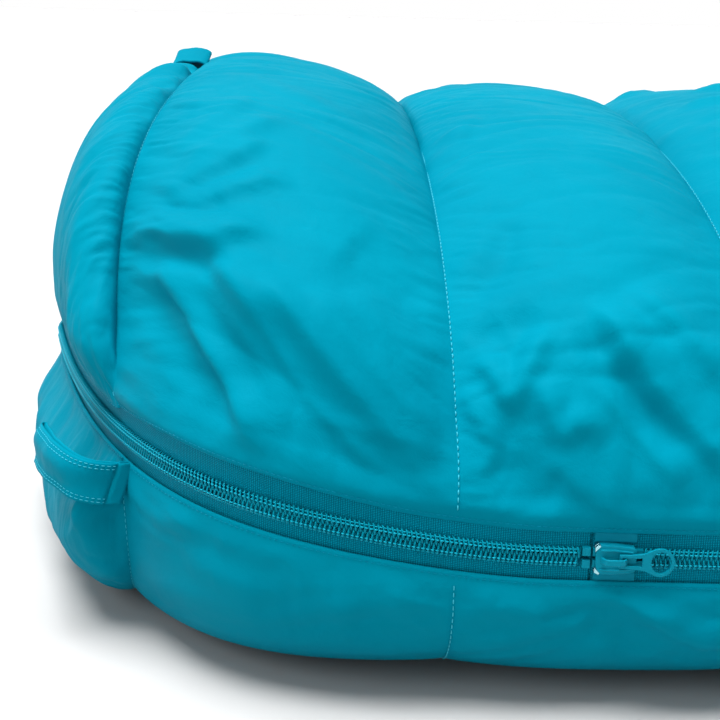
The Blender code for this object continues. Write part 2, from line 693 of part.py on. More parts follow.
def make_hang_loop():
    """The wide loop in the foot seam below the zip; it lies along the foot's lower bulge."""
    count = 6
    drop = LOOP_DROP + 0.5 * LOOP_WIDTH
    edge = turn_at_height(FOOT_SEAM, FOOT_EDGE_HEIGHT + 1.0 * MM, below=True)
    turns = np.linspace(edge, 2.0 * math.pi - math.radians(60.0), 80)
    swing = np.arccos(np.clip(drop / panel_rise(turns), 0.0, 1.0))
    surface = foot_panel(turns, swing)
    surface[:, 2] = surface[0, 2]
    run = np.concatenate([[0.0], np.cumsum(np.linalg.norm(np.diff(surface, axis=0), axis=1))])
    centre = np.stack([np.interp(np.linspace(0.0, LOOP_LENGTH, count), run, surface[:, i])
                       for i in range(3)], -1)
    off = outward(centre)
    stand_off = 0.5 * LOOP_EYE + LOOP_PLY + np.linspace(3.0, 6.5, count) * MM
    centre = centre + off * stand_off[:, None]
    paths = band_loop("hang_loop", centre, off, 0.5 * LOOP_EYE)
    edge_up = np.array([0.5 * LOOP_SLANT, 0.0, 0.5 * LOOP_WIDTH])
    low, high = [[path + sign * edge_up for path in paths] for sign in (-1.0, 1.0)]
    slab_a = np.array([low[0], high[0]])
    slab_b = np.array([low[1], high[1]])
    slab("hang_loop", slab_a, slab_b, "shell_fabric")


def make_top_loop():
    """The small folded loop on the crest of the foot seam."""
    width, height = 7.0 * MM, 2.6 * MM
    crest = layer(foot_seam(np.array([0.5 * math.pi])), 0.0, np.array([0.5 * math.pi]))[0]
    angles = [2.0 * math.pi * i / 16 for i in range(16)]
    centre = crest + np.array([-5.0 * MM, 0.0, height + 1.2 * MM])
    faces = []
    for across in (-5.0 * MM, 5.0 * MM):
        faces.append([[centre + np.array([r * width * math.cos(a), across, r * height * math.sin(a)])
                       for a in angles] for r in (1.0, 0.72)])
    bm = bmesh.new()
    verts = [[[bm.verts.new(p) for p in ring] for ring in face] for face in faces]
    for i in range(16):
        j = (i + 1) % 16
        for face in verts:
            bm.faces.new((face[0][i], face[0][j], face[1][j], face[1][i]))
        for ring in (0, 1):
            bm.faces.new((verts[0][ring][i], verts[0][ring][j], verts[1][ring][j],
                          verts[1][ring][i]))
    close_mesh("top_loop", bm, "shell_fabric")


# ---- Build --------------------------------------------------------------------------------------

for old in list(bpy.data.objects):
    bpy.data.objects.remove(old)
materials = {name: make_material(name) for name in MATERIALS}

make_shell()
make_lining()
make_head_hem()
for index in range(len(CHAMBER_PITCHES)):
    make_fill(index)
for index in range(1, len(CHAMBER_PITCHES)):
    make_wall(index)
make_foot(lower=False)
make_foot(lower=True)
make_zips()
make_sliders()
make_hang_loop()
make_top_loop()
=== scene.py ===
# %% [markdown]
# # A camp quilt, zipped up as a bag
# A down quilt is two layers of thin nylon with down between them, held in chambers by seams across its
# width. Folded lengthwise and zipped along one side and the foot, it is a bag. Almost everything that
# meets the eye is cloth under gentle pressure, so most of this lesson is about making cloth that swells
# between its seams and gathers beside them. The zip, its sliders and the loops come after.

# %% Load the frame
import math

import bmesh
import bpy
import numpy as np
from mathutils import Matrix, Vector


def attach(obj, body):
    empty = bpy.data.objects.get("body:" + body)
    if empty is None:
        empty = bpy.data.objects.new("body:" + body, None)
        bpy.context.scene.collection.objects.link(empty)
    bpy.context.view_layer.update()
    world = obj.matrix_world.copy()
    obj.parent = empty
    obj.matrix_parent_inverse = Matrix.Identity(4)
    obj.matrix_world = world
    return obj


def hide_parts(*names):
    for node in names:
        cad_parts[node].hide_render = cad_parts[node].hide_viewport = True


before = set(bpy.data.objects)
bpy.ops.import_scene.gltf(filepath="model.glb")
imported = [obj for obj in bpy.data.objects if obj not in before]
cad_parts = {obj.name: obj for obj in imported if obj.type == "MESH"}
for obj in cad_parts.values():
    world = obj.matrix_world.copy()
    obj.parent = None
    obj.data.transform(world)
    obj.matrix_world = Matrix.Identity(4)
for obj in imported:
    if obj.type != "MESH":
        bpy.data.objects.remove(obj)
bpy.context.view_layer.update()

# %% [markdown]
# Real sizes are easiest to read in millimetres, and Blender works in metres. Blending between two values
# along a smooth step is used everywhere below, for shapes and for folds alike.

# %% Small tools for numbers
MM = 0.001
TAU = 2.0 * math.pi


def smooth(t):
    t = np.clip(t, 0.0, 1.0)
    return t * t * (3.0 - 2.0 * t)


def mix(a, b, share):
    return a + (b - a) * share


def unit(vectors):
    return vectors / (np.linalg.norm(vectors, axis=-1, keepdims=True) + 1e-12)


def lengths(points):
    """Distance along a path of points, at each of them."""
    return np.concatenate([[0.0], np.cumsum(np.linalg.norm(np.diff(points, axis=0), axis=-1))])


def read_off(distance, run, points):
    """Points at distances along a path whose own points lie at the distances `run`."""
    return np.stack([np.interp(distance, run, points[:, k]) for k in range(points.shape[1])], -1)


def together(*values):
    """Arrays or numbers that together give the coordinates of a grid of points."""
    return np.stack(np.broadcast_arrays(*values), -1)


# %% [markdown]
# ## The camera
# The quilt is seen from low down and close to its foot, with the zip side towards us. The lens is long
# enough that the far chambers stay large, and the camera is rolled a little, as a hand-held one is.

# %% Camera
TARGET = Vector((-0.7721, -0.15, 0.0903))
AZIMUTH, ELEVATION, ROLL = math.radians(-3.21), math.radians(13.97), math.radians(1.567)
DISTANCE = 0.554

ahead = Vector((-math.sin(AZIMUTH) * math.cos(ELEVATION), math.cos(AZIMUTH) * math.cos(ELEVATION),
                -math.sin(ELEVATION)))
level = ahead.cross(Vector((0.0, 0.0, 1.0))).normalized()
upright = level.cross(ahead)
right = level * math.cos(ROLL) + upright * math.sin(ROLL)
up = upright * math.cos(ROLL) - level * math.sin(ROLL)

camera_data = bpy.data.cameras.new("camera")
camera_data.lens = 71.0
camera_data.sensor_width = 36.0
camera_data.clip_start = 0.01
camera = bpy.data.objects.new("camera", camera_data)
bpy.context.scene.collection.objects.link(camera)
camera.matrix_world = Matrix((right, up, -ahead)).transposed().to_4x4()
camera.location = TARGET - ahead * DISTANCE
bpy.context.scene.camera = camera
print("camera at", [round(v, 3) for v in camera.location])

# %% [markdown]
# ## Colour
# A colour picker gives sRGB hex values, and shaders work in linear light, so one function turns the
# first into the second. One more function adds a node: its settings, then its inputs, each of which is a
# value or the output of another node.

# %% Colour and nodes


def colour(text):
    """An sRGB hex value as linear light, with full opacity."""
    channels = [int(text[i:i + 2], 16) / 255.0 for i in (1, 3, 5)]
    light = [c / 12.92 if c <= 0.04045 else ((c + 0.055) / 1.055) ** 2.4 for c in channels]
    return (*light, 1.0)


def add_node(tree, kind, inputs=None, **settings):
    """Adds one node. An input given as a socket is linked, and anything else is its value."""
    made = tree.nodes.new(kind)
    for name, value in settings.items():
        setattr(made, name, value)
    for name, value in (inputs or {}).items():
        if isinstance(value, bpy.types.NodeSocket):
            tree.links.new(value, made.inputs[name])
        else:
            made.inputs[name].default_value = value
    return made


def start_material(name, **values):
    """A new material with a Principled shader: the material, its tree and the shader. A value's name
    has _ for each space of the input's name."""
    material = bpy.data.materials.new(name)
    material.use_nodes = True
    shader = material.node_tree.nodes["Principled BSDF"]
    for words, value in values.items():
        shader.inputs[words.replace("_", " ")].default_value = value
    return material, material.node_tree, shader


def two_tone(tree, shader, factor, dark, light):
    """Colours the shader between two hex values."""
    tone = add_node(tree, "ShaderNodeMix", {"Factor": factor, "A": colour(dark), "B": colour(light)},
                    data_type="RGBA")
    tree.links.new(tone.outputs["Result"], shader.inputs["Base Color"])


# %% [markdown]
# ## Light and floor
# Most of the light comes from above, from a disc so broad that the shadows stay soft, and so each fold
# is bright on top and dark below. A weak soft box stands at the foot end. The pale surround is brightest
# at the horizon, and the white floor sends light back up under the chambers.

# %% Stage


def add_light(name, kind, place, towards, energy):
    data = bpy.data.lights.new(name, kind)
    data.energy = energy
    light = bpy.data.objects.new(name, data)
    bpy.context.scene.collection.objects.link(light)
    light.location = place
    light.rotation_euler = Vector(towards).to_track_quat("-Z", "Y").to_euler()
    return data


foot_box = add_light("foot_box", "AREA", (-2.2, -1.3, 1.2), (1.4, 1.2, -1.1), 10.0)
foot_box.shape = "RECTANGLE"
foot_box.size, foot_box.size_y = 1.2, 1.0
overhead = add_light("overhead_sun", "SUN", (0.0, 0.0, 3.0), (0.16, 0.02, -1.0), 6.7)
overhead.angle = math.radians(42.0)

world = bpy.data.worlds.new("pale_surround")
world.use_nodes = True
sky = world.node_tree
sky_height = add_node(sky, "ShaderNodeSeparateXYZ",
                      {"Vector": add_node(sky, "ShaderNodeTexCoord").outputs["Generated"]})
sky_share = add_node(sky, "ShaderNodeMapRange", {"Value": sky_height.outputs["Z"], "From Min": 0.10,
                     "From Max": 0.35, "To Min": 1.0, "To Max": 0.40})
sky.links.new(sky_share.outputs["Result"], sky.nodes["Background"].inputs["Strength"])
sky.nodes["Background"].inputs["Color"].default_value = (1.0, 1.0, 1.0, 1.0)
bpy.context.scene.world = world
bpy.context.scene.view_settings.view_transform = "Standard"

floor_mesh = bpy.data.meshes.new("floor")
floor_mesh.from_pydata([(-30, -30, 0), (30, -30, 0), (30, 30, 0), (-30, 30, 0)], [], [(0, 1, 2, 3)])
floor = bpy.data.objects.new("floor", floor_mesh)
bpy.context.scene.collection.objects.link(floor)
floor.location.z = -0.0004
floor_paint, floor_tree, floor_shader = start_material("matt_white_paint", Roughness=0.9,
                                                       Specular_IOR_Level=0.1)
floor_grain = add_node(floor_tree, "ShaderNodeTexNoise", {"Scale": 40.0, "Detail": 3.0})
two_tone(floor_tree, floor_shader, floor_grain.outputs["Fac"], "#b0b0b0", "#b3b3b3")
floor_mesh.materials.append(floor_paint)

# %% [markdown]
# ## The shape of the quilt
# Any point of the cloth has a *station*, its distance from the foot along X, and a *turn*, its angle
# round the quilt: 0 at the side zip, a quarter turn over the top, a half turn at the fold, and on under
# the quilt back to the zip. The zip line narrows and rises round the foot's corners. These are the same
# rules and numbers that shape the solid parts, so the cloth lies exactly on them.

# %% The outline and the section
FOOT_SEAM = 0.044
CORNER_LENGTH = 0.16
CHAMBER_PITCHES = [0.110, 0.104, 0.112, 0.120, 0.128, 0.136] + [0.150] * 7
SEAMS = [FOOT_SEAM + sum(CHAMBER_PITCHES[:i]) for i in range(len(CHAMBER_PITCHES) + 1)]
LENGTH = SEAMS[-1]
CHAMBER_COUNT = len(CHAMBER_PITCHES)
NEAR_CHAMBERS = 2             # these have folds drawn one by one, on a finer grid
FOOT_X = -0.5 * (LENGTH + 0.003) + 0.003
CROWN = 0.117
FLATNESS_BELOW = 0.42
OVERFILL_BELOW = 1.06


def half_width(station, far=False):
    """From the middle of the quilt to the zip line, or to the fold on the far side."""
    end = np.where(far, 0.110, 0.060)
    corner = np.clip(station / CORNER_LENGTH, 0.0, 1.0)
    side = 0.2555 + 0.055 * station
    return end + (side - end) * (1.0 - (1.0 - corner) ** 4.15)


def zip_height(station):
    return mix(0.0795, 0.056, smooth(station / 0.19))


def foot_seam(turn):
    """Station of the seam between the foot panel and the first chamber."""
    over = np.where(turn < math.pi, np.sin(turn), 0.0)
    shoulders = np.where(turn < math.pi, np.abs(np.sin(2.0 * turn)), 0.0)
    return FOOT_SEAM + 0.0147 * over**2 - 0.0112 * shoulders


def round_section(station, turn, inset=0.0, crown=CROWN, depth=None):
    """A section's base curve: across and up. It is a half ellipse with a flat-bottomed lower half."""
    upper = turn <= math.pi
    power = np.where(upper, 1.0, FLATNESS_BELOW)
    cosine = np.cos(turn)
    reach = np.sign(cosine) * np.abs(cosine) ** power
    rise = np.abs(np.sin(turn)) ** power
    zip_z = zip_height(station)
    depth = zip_z if depth is None else depth
    across = -(half_width(station, cosine < 0) - inset) * reach
    below = zip_z - depth * np.minimum(1.0, OVERFILL_BELOW * rise)
    return np.stack([across, np.where(upper, zip_z + crown * rise, below)], -1)


def section_normal(station, turn):
    ahead_of = round_section(station, np.minimum(turn + 1e-4, TAU - 1e-9))
    behind = round_section(station, np.maximum(turn - 1e-4, 1e-9))
    along = ahead_of - behind
    return unit(np.stack([-along[..., 1], along[..., 0]], -1))


def puff_profile(share, firmness=1.0):
    """Flat at the middle of a chamber. Beside a seam it is steep where the chamber is firm."""
    return np.maximum(1.0 - np.abs(2.0 * share - 1.0) ** 2, 0.0) ** mix(1.0, 0.6, firmness)


def shell_and_lining(station, share, turn):
    """Outer and inner points of a chamber at one share of its pitch, each (across, up)."""
    base = round_section(station, turn)
    distance = np.hypot(base[..., 0] + half_width(station), base[..., 1] - zip_height(station))
    puff = mix(0.0154, 0.003, smooth((turn - math.pi + 0.6) / 0.6))
    underside = np.where(turn > math.pi, np.abs(np.sin(turn)) ** 6, 0.0)
    firmness = np.where(turn < math.pi, smooth((distance - 0.10) / 0.14), 1.0)
    swell = puff * puff_profile(share, firmness) * smooth(distance / 0.065) * (1.0 - underside)
    outer = base + section_normal(station, turn) * swell[..., None]
    outer[..., 1] = np.maximum(outer[..., 1], 0.0)
    inner = round_section(station, turn, 0.050, CROWN - 0.070, zip_height(station) - 0.040)
    inner = mix(base, inner, mix(0.24, 1.0, smooth(distance / 0.08))[..., None])
    t = np.clip((station - LENGTH + 0.060) / 0.060, 0.0, 1.0)
    pinch = (0.7 * t**2)[..., None]
    middle = 0.5 * (outer + inner)
    return mix(outer, middle, pinch), mix(inner, middle, pinch)


def place(station, flat):
    """Section points as points in space."""
    return np.stack([station + FOOT_X, flat[..., 0], flat[..., 1]], -1)


# %% [markdown]
# The foot panel is the cap between the foot seam and the foot zip. A second angle, the *swing*, goes
# from 0 at the seam to a quarter turn at the zip.

# %% The foot panel


def rim_station(across):
    """Station of the zip line at a distance across, inside the foot's corners."""
    stations = np.linspace(0.0, FOOT_SEAM, 400)
    near = np.interp(-across, half_width(stations), stations, left=0.0)
    far = np.interp(across, half_width(stations, True), stations, left=0.0)
    return np.where(across < 0, near, far)


def foot_base(turn, swing):
    seam = foot_seam(turn)
    seam_yz = round_section(seam, turn)
    rim_y = round_section(np.full_like(turn, FOOT_SEAM), turn)[..., 0]
    rim = rim_station(rim_y)
    rim_z = zip_height(rim)
    c, s = np.cos(swing), np.sin(swing)
    x = FOOT_SEAM + (seam - FOOT_SEAM) * c + (rim - FOOT_SEAM) * s
    y = mix(seam_yz[..., 0], rim_y, s**2)
    z = rim_z + (seam_yz[..., 1] - rim_z) * c
    return np.stack([x, y, z], -1)


def panel_rise(turn):
    """Height of the foot seam above, or its depth below, the point of the zip that faces it."""
    return np.abs(foot_base(turn, 0.0 * turn)[..., 2] - foot_base(turn, 0.0 * turn + 0.25 * TAU)[..., 2])


def foot_panel(turn, swing):
    """Points of the puffed foot panel in space."""
    step = 1e-4
    base = foot_base(turn, swing)
    by_turn = foot_base(turn + step, swing) - foot_base(turn - step, swing)
    by_swing = foot_base(turn, swing + step) - foot_base(turn, swing - step)
    normal = unit(np.cross(by_turn, by_swing))
    middle = np.array([FOOT_SEAM + 0.02, 0.0, zip_height(FOOT_SEAM)])
    inwards = np.sum(normal * (base - middle), -1, keepdims=True) < 0
    normal = np.where(inwards, -normal, normal)
    lower = turn > math.pi
    swell = np.where(lower, 0.0197, 0.0107) * puff_profile(swing / (0.25 * TAU), np.where(
        turn < math.pi, 0.8 * np.sin(turn) ** 2, 0.5))
    swell *= smooth(np.abs(np.sin(turn)) / 0.35)
    swell *= np.where(lower, np.clip(1.3 * np.sin(swing), 0.0, 1.0), 1.0)
    points = base + normal * swell[..., None]
    points[..., 2] = np.maximum(points[..., 2], 0.0)
    points[..., 0] += FOOT_X
    return points


# %% [markdown]
# Folds and threads have sizes along the cloth, so each turn also needs its *arc*: the distance round the
# quilt from the zip, measured on one typical section. Points are packed closely on the zip's side, where
# the folds are deepest, and spread out behind.

# %% Distance round the quilt
EDGE_RISE = 8.4 * MM          # the cloth's folded edge lies this far above and below the zip line
spread = 0.5 - 0.5 * np.cos(np.pi * np.linspace(0.0, 1.0, 4001))
TURN_LIST = np.concatenate([math.pi * spread, math.pi + math.pi * spread[1:]])
section_points = round_section(np.full_like(TURN_LIST, SEAMS[1]), TURN_LIST)
ARC_LIST = lengths(section_points)
GIRTH = ARC_LIST[-1]
FOLD_ARC = float(np.interp(math.pi, TURN_LIST, ARC_LIST))
print("round the quilt:", round(GIRTH, 3), "m, and to the fold:", round(FOLD_ARC, 3), "m")


def columns(fine, coarse, start, end):
    """Arcs from start to end, `fine` apart on the zip's side and `coarse` apart on the far side."""
    arc = np.linspace(start, end, 6000)
    far = smooth((arc - 0.32) / 0.12) * smooth((GIRTH - 0.09 - arc) / 0.06)
    count = np.cumsum(1.0 / mix(fine, coarse, far)) * (arc[1] - arc[0])
    return np.interp(np.linspace(count[0], count[-1], int(count[-1])), count, arc)


def turn_of(arc, station):
    """The turn at an arc. Near the zip the lower half keeps its distance from the zip line."""
    turn = np.interp(arc, ARC_LIST, TURN_LIST) + 0.0 * station
    below = GIRTH - arc + 0.0 * station
    rise = np.abs(np.sin(turn)) ** FLATNESS_BELOW
    factor = mix(zip_height(SEAMS[1]) / zip_height(station), 1.0, smooth(below / 0.045))
    sine = np.clip(rise * factor, 0.0, 1.0) ** (1.0 / FLATNESS_BELOW)
    return np.where(turn > 0.75 * TAU, TAU - np.arcsin(sine), turn)


def signed_arc(arc):
    """Arc from the zip: positive over the top, negative underneath."""
    return np.where(arc > FOLD_ARC, arc - GIRTH, arc)

# %% [markdown]
# ## Folds
# Thin cloth folds in two ways here. Beside a seam it is gathered, because the curved chamber needs more
# cloth than its straight seam: many small puckers leave the stitches and join into fewer, wider ones
# further away. Between the seams a few long soft folds run where the cloth is slack. The puckers come
# from seeded random waves. The long folds of the foot end are drawn one by one, since they give this
# quilt its look.

# %% Waves and folds


def ripple(a, b, seed):
    """Smooth random relief between -1 and 1, with about one bump to each unit of a and b."""
    lattice = np.random.default_rng(seed).uniform(-1.0, 1.0, (97, 97))
    i, j = np.floor(a).astype(int), np.floor(b).astype(int)
    u, v = smooth(a - i), smooth(b - j)

    def corner(di, dj):
        return lattice[(i + di) % 97, (j + dj) % 97]

    return mix(mix(corner(0, 0), corner(1, 0), u), mix(corner(0, 1), corner(1, 1), u), v)


PUCKERS = ((4.4, 5.5, 0.50), (8.0, 11.0, 0.62), (17.0, 24.0, 0.70))    # pitch, reach and height in mm


def gathers(along, distance, seed, scale=1.0):
    """Puckers that leave a line of stitches: narrow beside it, and wider and fewer further away."""
    relief = 0.0 * along
    for k, (pitch, reach, height) in enumerate(PUCKERS):
        t = distance / (reach * MM)
        lean = ripple(along / (40.0 * MM), 0.0 * along, seed + 50 + k) * distance * 0.7
        wave = ripple((along + lean) / (pitch * MM), distance / (3.5 * reach * MM), seed + k)
        creased = 1.8 * np.abs(wave) ** 0.9 - 0.70
        relief = relief + height * MM * creased * t * np.exp(1.0 - t)
    return scale * relief


def fold(station, arc, path, width, height, lean=1.0):
    """A long fold along a path of (station, arc) points in mm. `lean` over 1 makes the side towards
    the zip steeper, and a height under 0 makes a valley."""
    ends = np.array(path, float) * MM
    run = lengths(ends)
    soft = read_off(np.linspace(0.0, run[-1], 9 * (len(path) - 1) + 1), run, ends)
    for _ in range(6):
        soft[1:-1] = 0.5 * soft[1:-1] + 0.25 * (soft[:-2] + soft[2:])
    reach = 4.0 * width * MM
    near = (station > soft[:, 0].min() - reach) & (station < soft[:, 0].max() + reach)
    near &= (arc > soft[:, 1].min() - reach) & (arc < soft[:, 1].max() + reach)
    s, a = station[near], arc[near]
    best, side, share = np.full(s.shape, 1e9), np.ones(s.shape), np.zeros(s.shape)
    for k in range(len(soft) - 1):
        start, step = soft[k], soft[k + 1] - soft[k]
        length = np.hypot(*step) + 1e-9
        t = np.clip(((s - start[0]) * step[0] + (a - start[1]) * step[1]) / length**2, 0.0, 1.0)
        ds, da = s - start[0] - t * step[0], a - start[1] - t * step[1]
        gap = np.hypot(ds, da)
        closer = gap < best
        best = np.where(closer, gap, best)
        side = np.where(closer, np.where(step[0] * da - step[1] * ds < 0, -1.0, 1.0), side)
        share = np.where(closer, (k + t) / (len(soft) - 1), share)
    spread_out = width * MM * np.where(side * np.sign(ends[-1, 0] - ends[0, 0]) < 0, 1.0 / lean, lean)
    taper = smooth(share / 0.22) * smooth((1.0 - share) / 0.28)
    relief = np.zeros(station.shape)
    relief[near] = height * MM * taper * np.exp(-((best / spread_out) ** 2))
    return relief


# %% [markdown]
# Each row below is one fold of the first two chambers or of the cloth under the zip: its path in mm along
# the quilt and round it, its width, its height and its lean. Where the filling has sunk, the cloth hangs
# in swags, and the long diagonal folds run down from the foot seam towards the zip. The other chambers
# get folds of their own from seeded random numbers.

# %% The long folds
FOLDS = [
    # tucks that leave the foot seam
    (((44, 68), (51, 82), (63, 80), (73, 79), (84, 88), (96, 92)), 4.2, 3.4, 1.5),
    (((48, 62), (57, 72), (68, 72), (80, 66)), 4.0, -2.4, 1.0),
    (((51, 100), (64, 114), (82, 132), (92, 150)), 4.4, 2.6, 1.4),
    (((54, 92), (66, 98), (80, 104)), 3.8, -1.2, 1.0),
    (((57, 94), (73, 105), (90, 118), (104, 122)), 4.0, 2.0, 1.4),
    (((58, 120), (79, 146), (100, 178)), 4.6, 1.5, 1.3),
    (((54, 132), (70, 158), (86, 196)), 4.0, 1.2, 1.2),
    # long diagonals of the first chamber
    (((52, 72), (60, 58), (70, 45), (82, 31), (96, 15)), 3.6, 3.2, 1.3),
    (((47, 54), (56, 45), (64, 36), (72, 25)), 3.8, -1.6, 1.0),
    (((70, 78), (80, 67), (93, 53), (106, 38), (122, 26), (143, 14)), 4.8, 3.2, 1.6),
    (((62, 62), (74, 51), (84, 40), (96, 26)), 4.6, -1.9, 1.0),
    (((88, 74), (104, 56), (120, 42), (134, 31), (152, 15)), 4.6, 2.6, 1.6),
    (((84, 62), (100, 45), (114, 30), (128, 18)), 4.4, -1.5, 1.0),
    (((104, 72), (118, 57), (134, 43), (150, 30)), 4.4, 1.8, 1.5),
    (((118, 76), (132, 62), (148, 50)), 4.8, 1.2, 1.4),
    # broad hollows where the down has sunk
    (((50, 64), (60, 50), (72, 36), (88, 22)), 9.0, -3.8, 1.0),
    (((88, 60), (106, 42), (124, 28), (146, 14)), 6.0, -2.6, 1.0),
    (((56, 104), (70, 116), (88, 128)), 5.0, -1.3, 1.0),
    (((118, 96), (134, 88), (148, 78)), 10.0, -1.2, 1.0),
    (((204, 60), (216, 44), (230, 30)), 7.0, -2.0, 1.0),
    (((164, 30), (176, 24), (188, 16)), 7.0, -1.6, 1.0),
    # swags of the second chamber
    (((157, 61), (163, 60), (168, 54), (171, 46), (175, 51), (181, 64), (186, 74)), 3.4, 3.0, 1.2),
    (((160, 76), (168, 70), (173, 62), (176, 72), (180, 84)), 5.0, -2.2, 1.0),
    (((157, 52), (160, 43), (164, 37), (170, 35)), 3.2, 2.2, 1.3),
    (((180, 54), (184, 42), (187, 36), (191, 40), (196, 39), (200, 33)), 3.2, 2.2, 1.2),
    (((198, 82), (205, 67), (213, 55), (224, 43), (238, 31), (250, 20)), 4.2, 3.4, 1.6),
    (((193, 72), (202, 56), (212, 44), (224, 31)), 4.0, -2.0, 1.0),
    (((211, 88), (218, 78), (227, 69), (240, 56), (254, 44)), 4.4, 2.6, 1.5),
    (((197, 54), (204, 45), (212, 36), (226, 22)), 3.6, 2.0, 1.5),
    (((182, 33), (190, 24), (200, 17), (212, 12)), 3.4, 1.5, 1.4),
    (((152, 90), (164, 92), (172, 100), (176, 116), (175, 130)), 4.6, -1.8, 1.0),
    (((154, 98), (162, 106), (169, 116), (171, 128)), 4.4, 1.0, 1.0),
    (((153, 172), (162, 190), (172, 214), (178, 238)), 4.2, 1.4, 1.2),
    (((154, 158), (166, 170), (180, 188)), 4.2, 1.1, 1.2),
    # under the zip
    (((196, -9), (208, -13), (220, -21), (233, -29), (252, -31)), 4.0, 2.6, 1.4),
    (((196, -20), (208, -28), (222, -36)), 5.0, -1.5, 1.0),
    (((46, -24), (56, -22), (66, -15), (76, -11)), 3.6, 1.2, 1.2),
    (((74, -13), (90, -15), (108, -11)), 3.2, 0.9, 1.2),
    (((158, -12), (172, -20), (190, -24)), 4.4, 1.1, 1.2),
    (((110, -30), (128, -22), (146, -20)), 5.0, 1.0, 1.2),
]


def loose_folds(chamber):
    """Long folds for a chamber whose own aren't drawn. Each starts near a seam and runs off aslant."""
    draw = np.random.default_rng(500 + chamber)
    begin, pitch = SEAMS[chamber] / MM, CHAMBER_PITCHES[chamber] / MM
    rows = []
    for _ in range(16):
        towards_head = draw.random() < 0.5
        start = draw.uniform(0.06, 0.30) if towards_head else draw.uniform(0.70, 0.94)
        reach = draw.uniform(0.30, 0.62) * (1.0 if towards_head else -1.0)
        arc, fall = draw.uniform(24.0, FOLD_ARC / MM - 60.0), draw.uniform(-42.0, 42.0)
        shares = start + reach * np.linspace(0.0, 1.0, 4)
        arcs = np.maximum(arc + fall * np.linspace(0.0, 1.0, 4) ** 1.3, 14.0)
        path = list(zip(begin + pitch * shares, arcs))
        width, size = draw.uniform(4.0, 6.5), draw.uniform(1.0, 2.6) * draw.choice([1.0, 1.0, -0.8])
        rows.append((path, width, size, 1.3))
    return rows


def chamber_relief(chamber, station, share, arc):
    """How far the cloth of a chamber stands out beyond its smooth puffed shape."""
    height = signed_arc(arc)
    seed = 1000 + 20 * chamber
    pitch = CHAMBER_PITCHES[chamber]
    relief = gathers(height, share * pitch, seed, 1.3)
    relief += gathers(height, (1.0 - share) * pitch, seed + 7, 1.3)
    from_edge = np.abs(height) - EDGE_RISE
    hem_seed = 401 if chamber < NEAR_CHAMBERS else 400 + chamber
    relief += gathers(station, np.maximum(from_edge, 0.0), hem_seed, 0.7)
    slant = (station * 0.62 + height * 0.78) / (15.0 * MM)
    relief += 0.75 * MM * ripple(slant, (station * 0.78 - height * 0.62) / (70.0 * MM), 31)
    relief += 1.2 * MM * ripple(station / (45.0 * MM), height / (60.0 * MM), 32)
    for path, width, size, lean in FOLDS if chamber < NEAR_CHAMBERS else loose_folds(chamber):
        relief += 1.5 * fold(station, height, path, 1.4 * width, size, lean)
    still = smooth(from_edge / (10.0 * MM)) * puff_profile(share) ** 0.5
    flat = np.where(height < 0, 1.0 - smooth((-height - 0.030) / 0.030), 1.0)
    return relief * still * flat


# %% [markdown]
# ## From points to cloth
# Every sheet here is a grid of points, so one function makes the mesh. It also stores each point's place
# in the flat cloth, in metres, so that weaves and stitches keep their true size however the cloth curves.

# %% Grid meshes
pieces = {}


def grid_faces(rows, count, closed=False):
    i, j = np.meshgrid(np.arange(rows - 1), np.arange(count if closed else count - 1), indexing="ij")
    k = (j + 1) % count
    quads = np.stack([i * count + j, i * count + k, (i + 1) * count + k, (i + 1) * count + j], -1)
    return quads.reshape(-1, 4)


def make_piece(name, points, faces, material, flat=None):
    """A piece from points and quads, smooth shaded, with its flat-cloth places."""
    mesh = bpy.data.meshes.new(name)
    points = np.asarray(points, float).reshape(-1, 3)
    faces = np.asarray(faces, int)
    mesh.vertices.add(len(points))
    mesh.vertices.foreach_set("co", points.ravel())
    mesh.loops.add(faces.size)
    mesh.loops.foreach_set("vertex_index", faces.ravel())
    mesh.polygons.add(len(faces))
    mesh.polygons.foreach_set("loop_start", np.arange(0, faces.size, faces.shape[1]))
    mesh.update(calc_edges=True)
    mesh.validate()
    mesh.polygons.foreach_set("use_smooth", np.ones(len(mesh.polygons), bool))
    if flat is not None:
        store = mesh.attributes.new("flat_place", "FLOAT_VECTOR", "POINT")
        store.data.foreach_set("vector", np.asarray(flat, float).ravel())
    obj = bpy.data.objects.new(name, mesh)
    bpy.context.scene.collection.objects.link(obj)
    mesh.materials.append(material)
    pieces[name] = obj
    return obj


def make_sheet(name, grid, material, flat=None, closed=False):
    """A piece from a grid of points. A closed grid's last column joins its first."""
    return make_piece(name, grid, grid_faces(*grid.shape[:2], closed), material, flat)


def grid_normals(grid):
    """Normals of a grid of points, from its rows and columns."""
    return unit(np.cross(np.gradient(grid, axis=0), np.gradient(grid, axis=1)))


def tube(path, radius, across, sides=6):
    """Points and quads of a round tube. `across` gives directions that the path never follows."""
    tangent = unit(np.gradient(path, axis=0))
    first = unit(np.cross(tangent, across))
    second = np.cross(tangent, first)
    angle = TAU * np.arange(sides)[None, :, None] / sides
    ring = first[:, None] * np.cos(angle) + second[:, None] * np.sin(angle)
    return (path[:, None] + radius * ring).reshape(-1, 3), grid_faces(len(path), sides, closed=True)


# %% [markdown]
# ## Finishes of cloth
# The shell is calendered nylon taffeta, about 20 denier. Its threads are 0.1 mm apart, far too fine to
# show, so the weave is drawn at 0.5 mm, and only as a faint texture. What does show is a satin gloss that
# follows each crease, and a tiny crinkle from being stuffed into a sack. Its reflections take the
# colour of the dye, which keeps the cloth strongly coloured even where it shines.

# %% Nylon taffeta


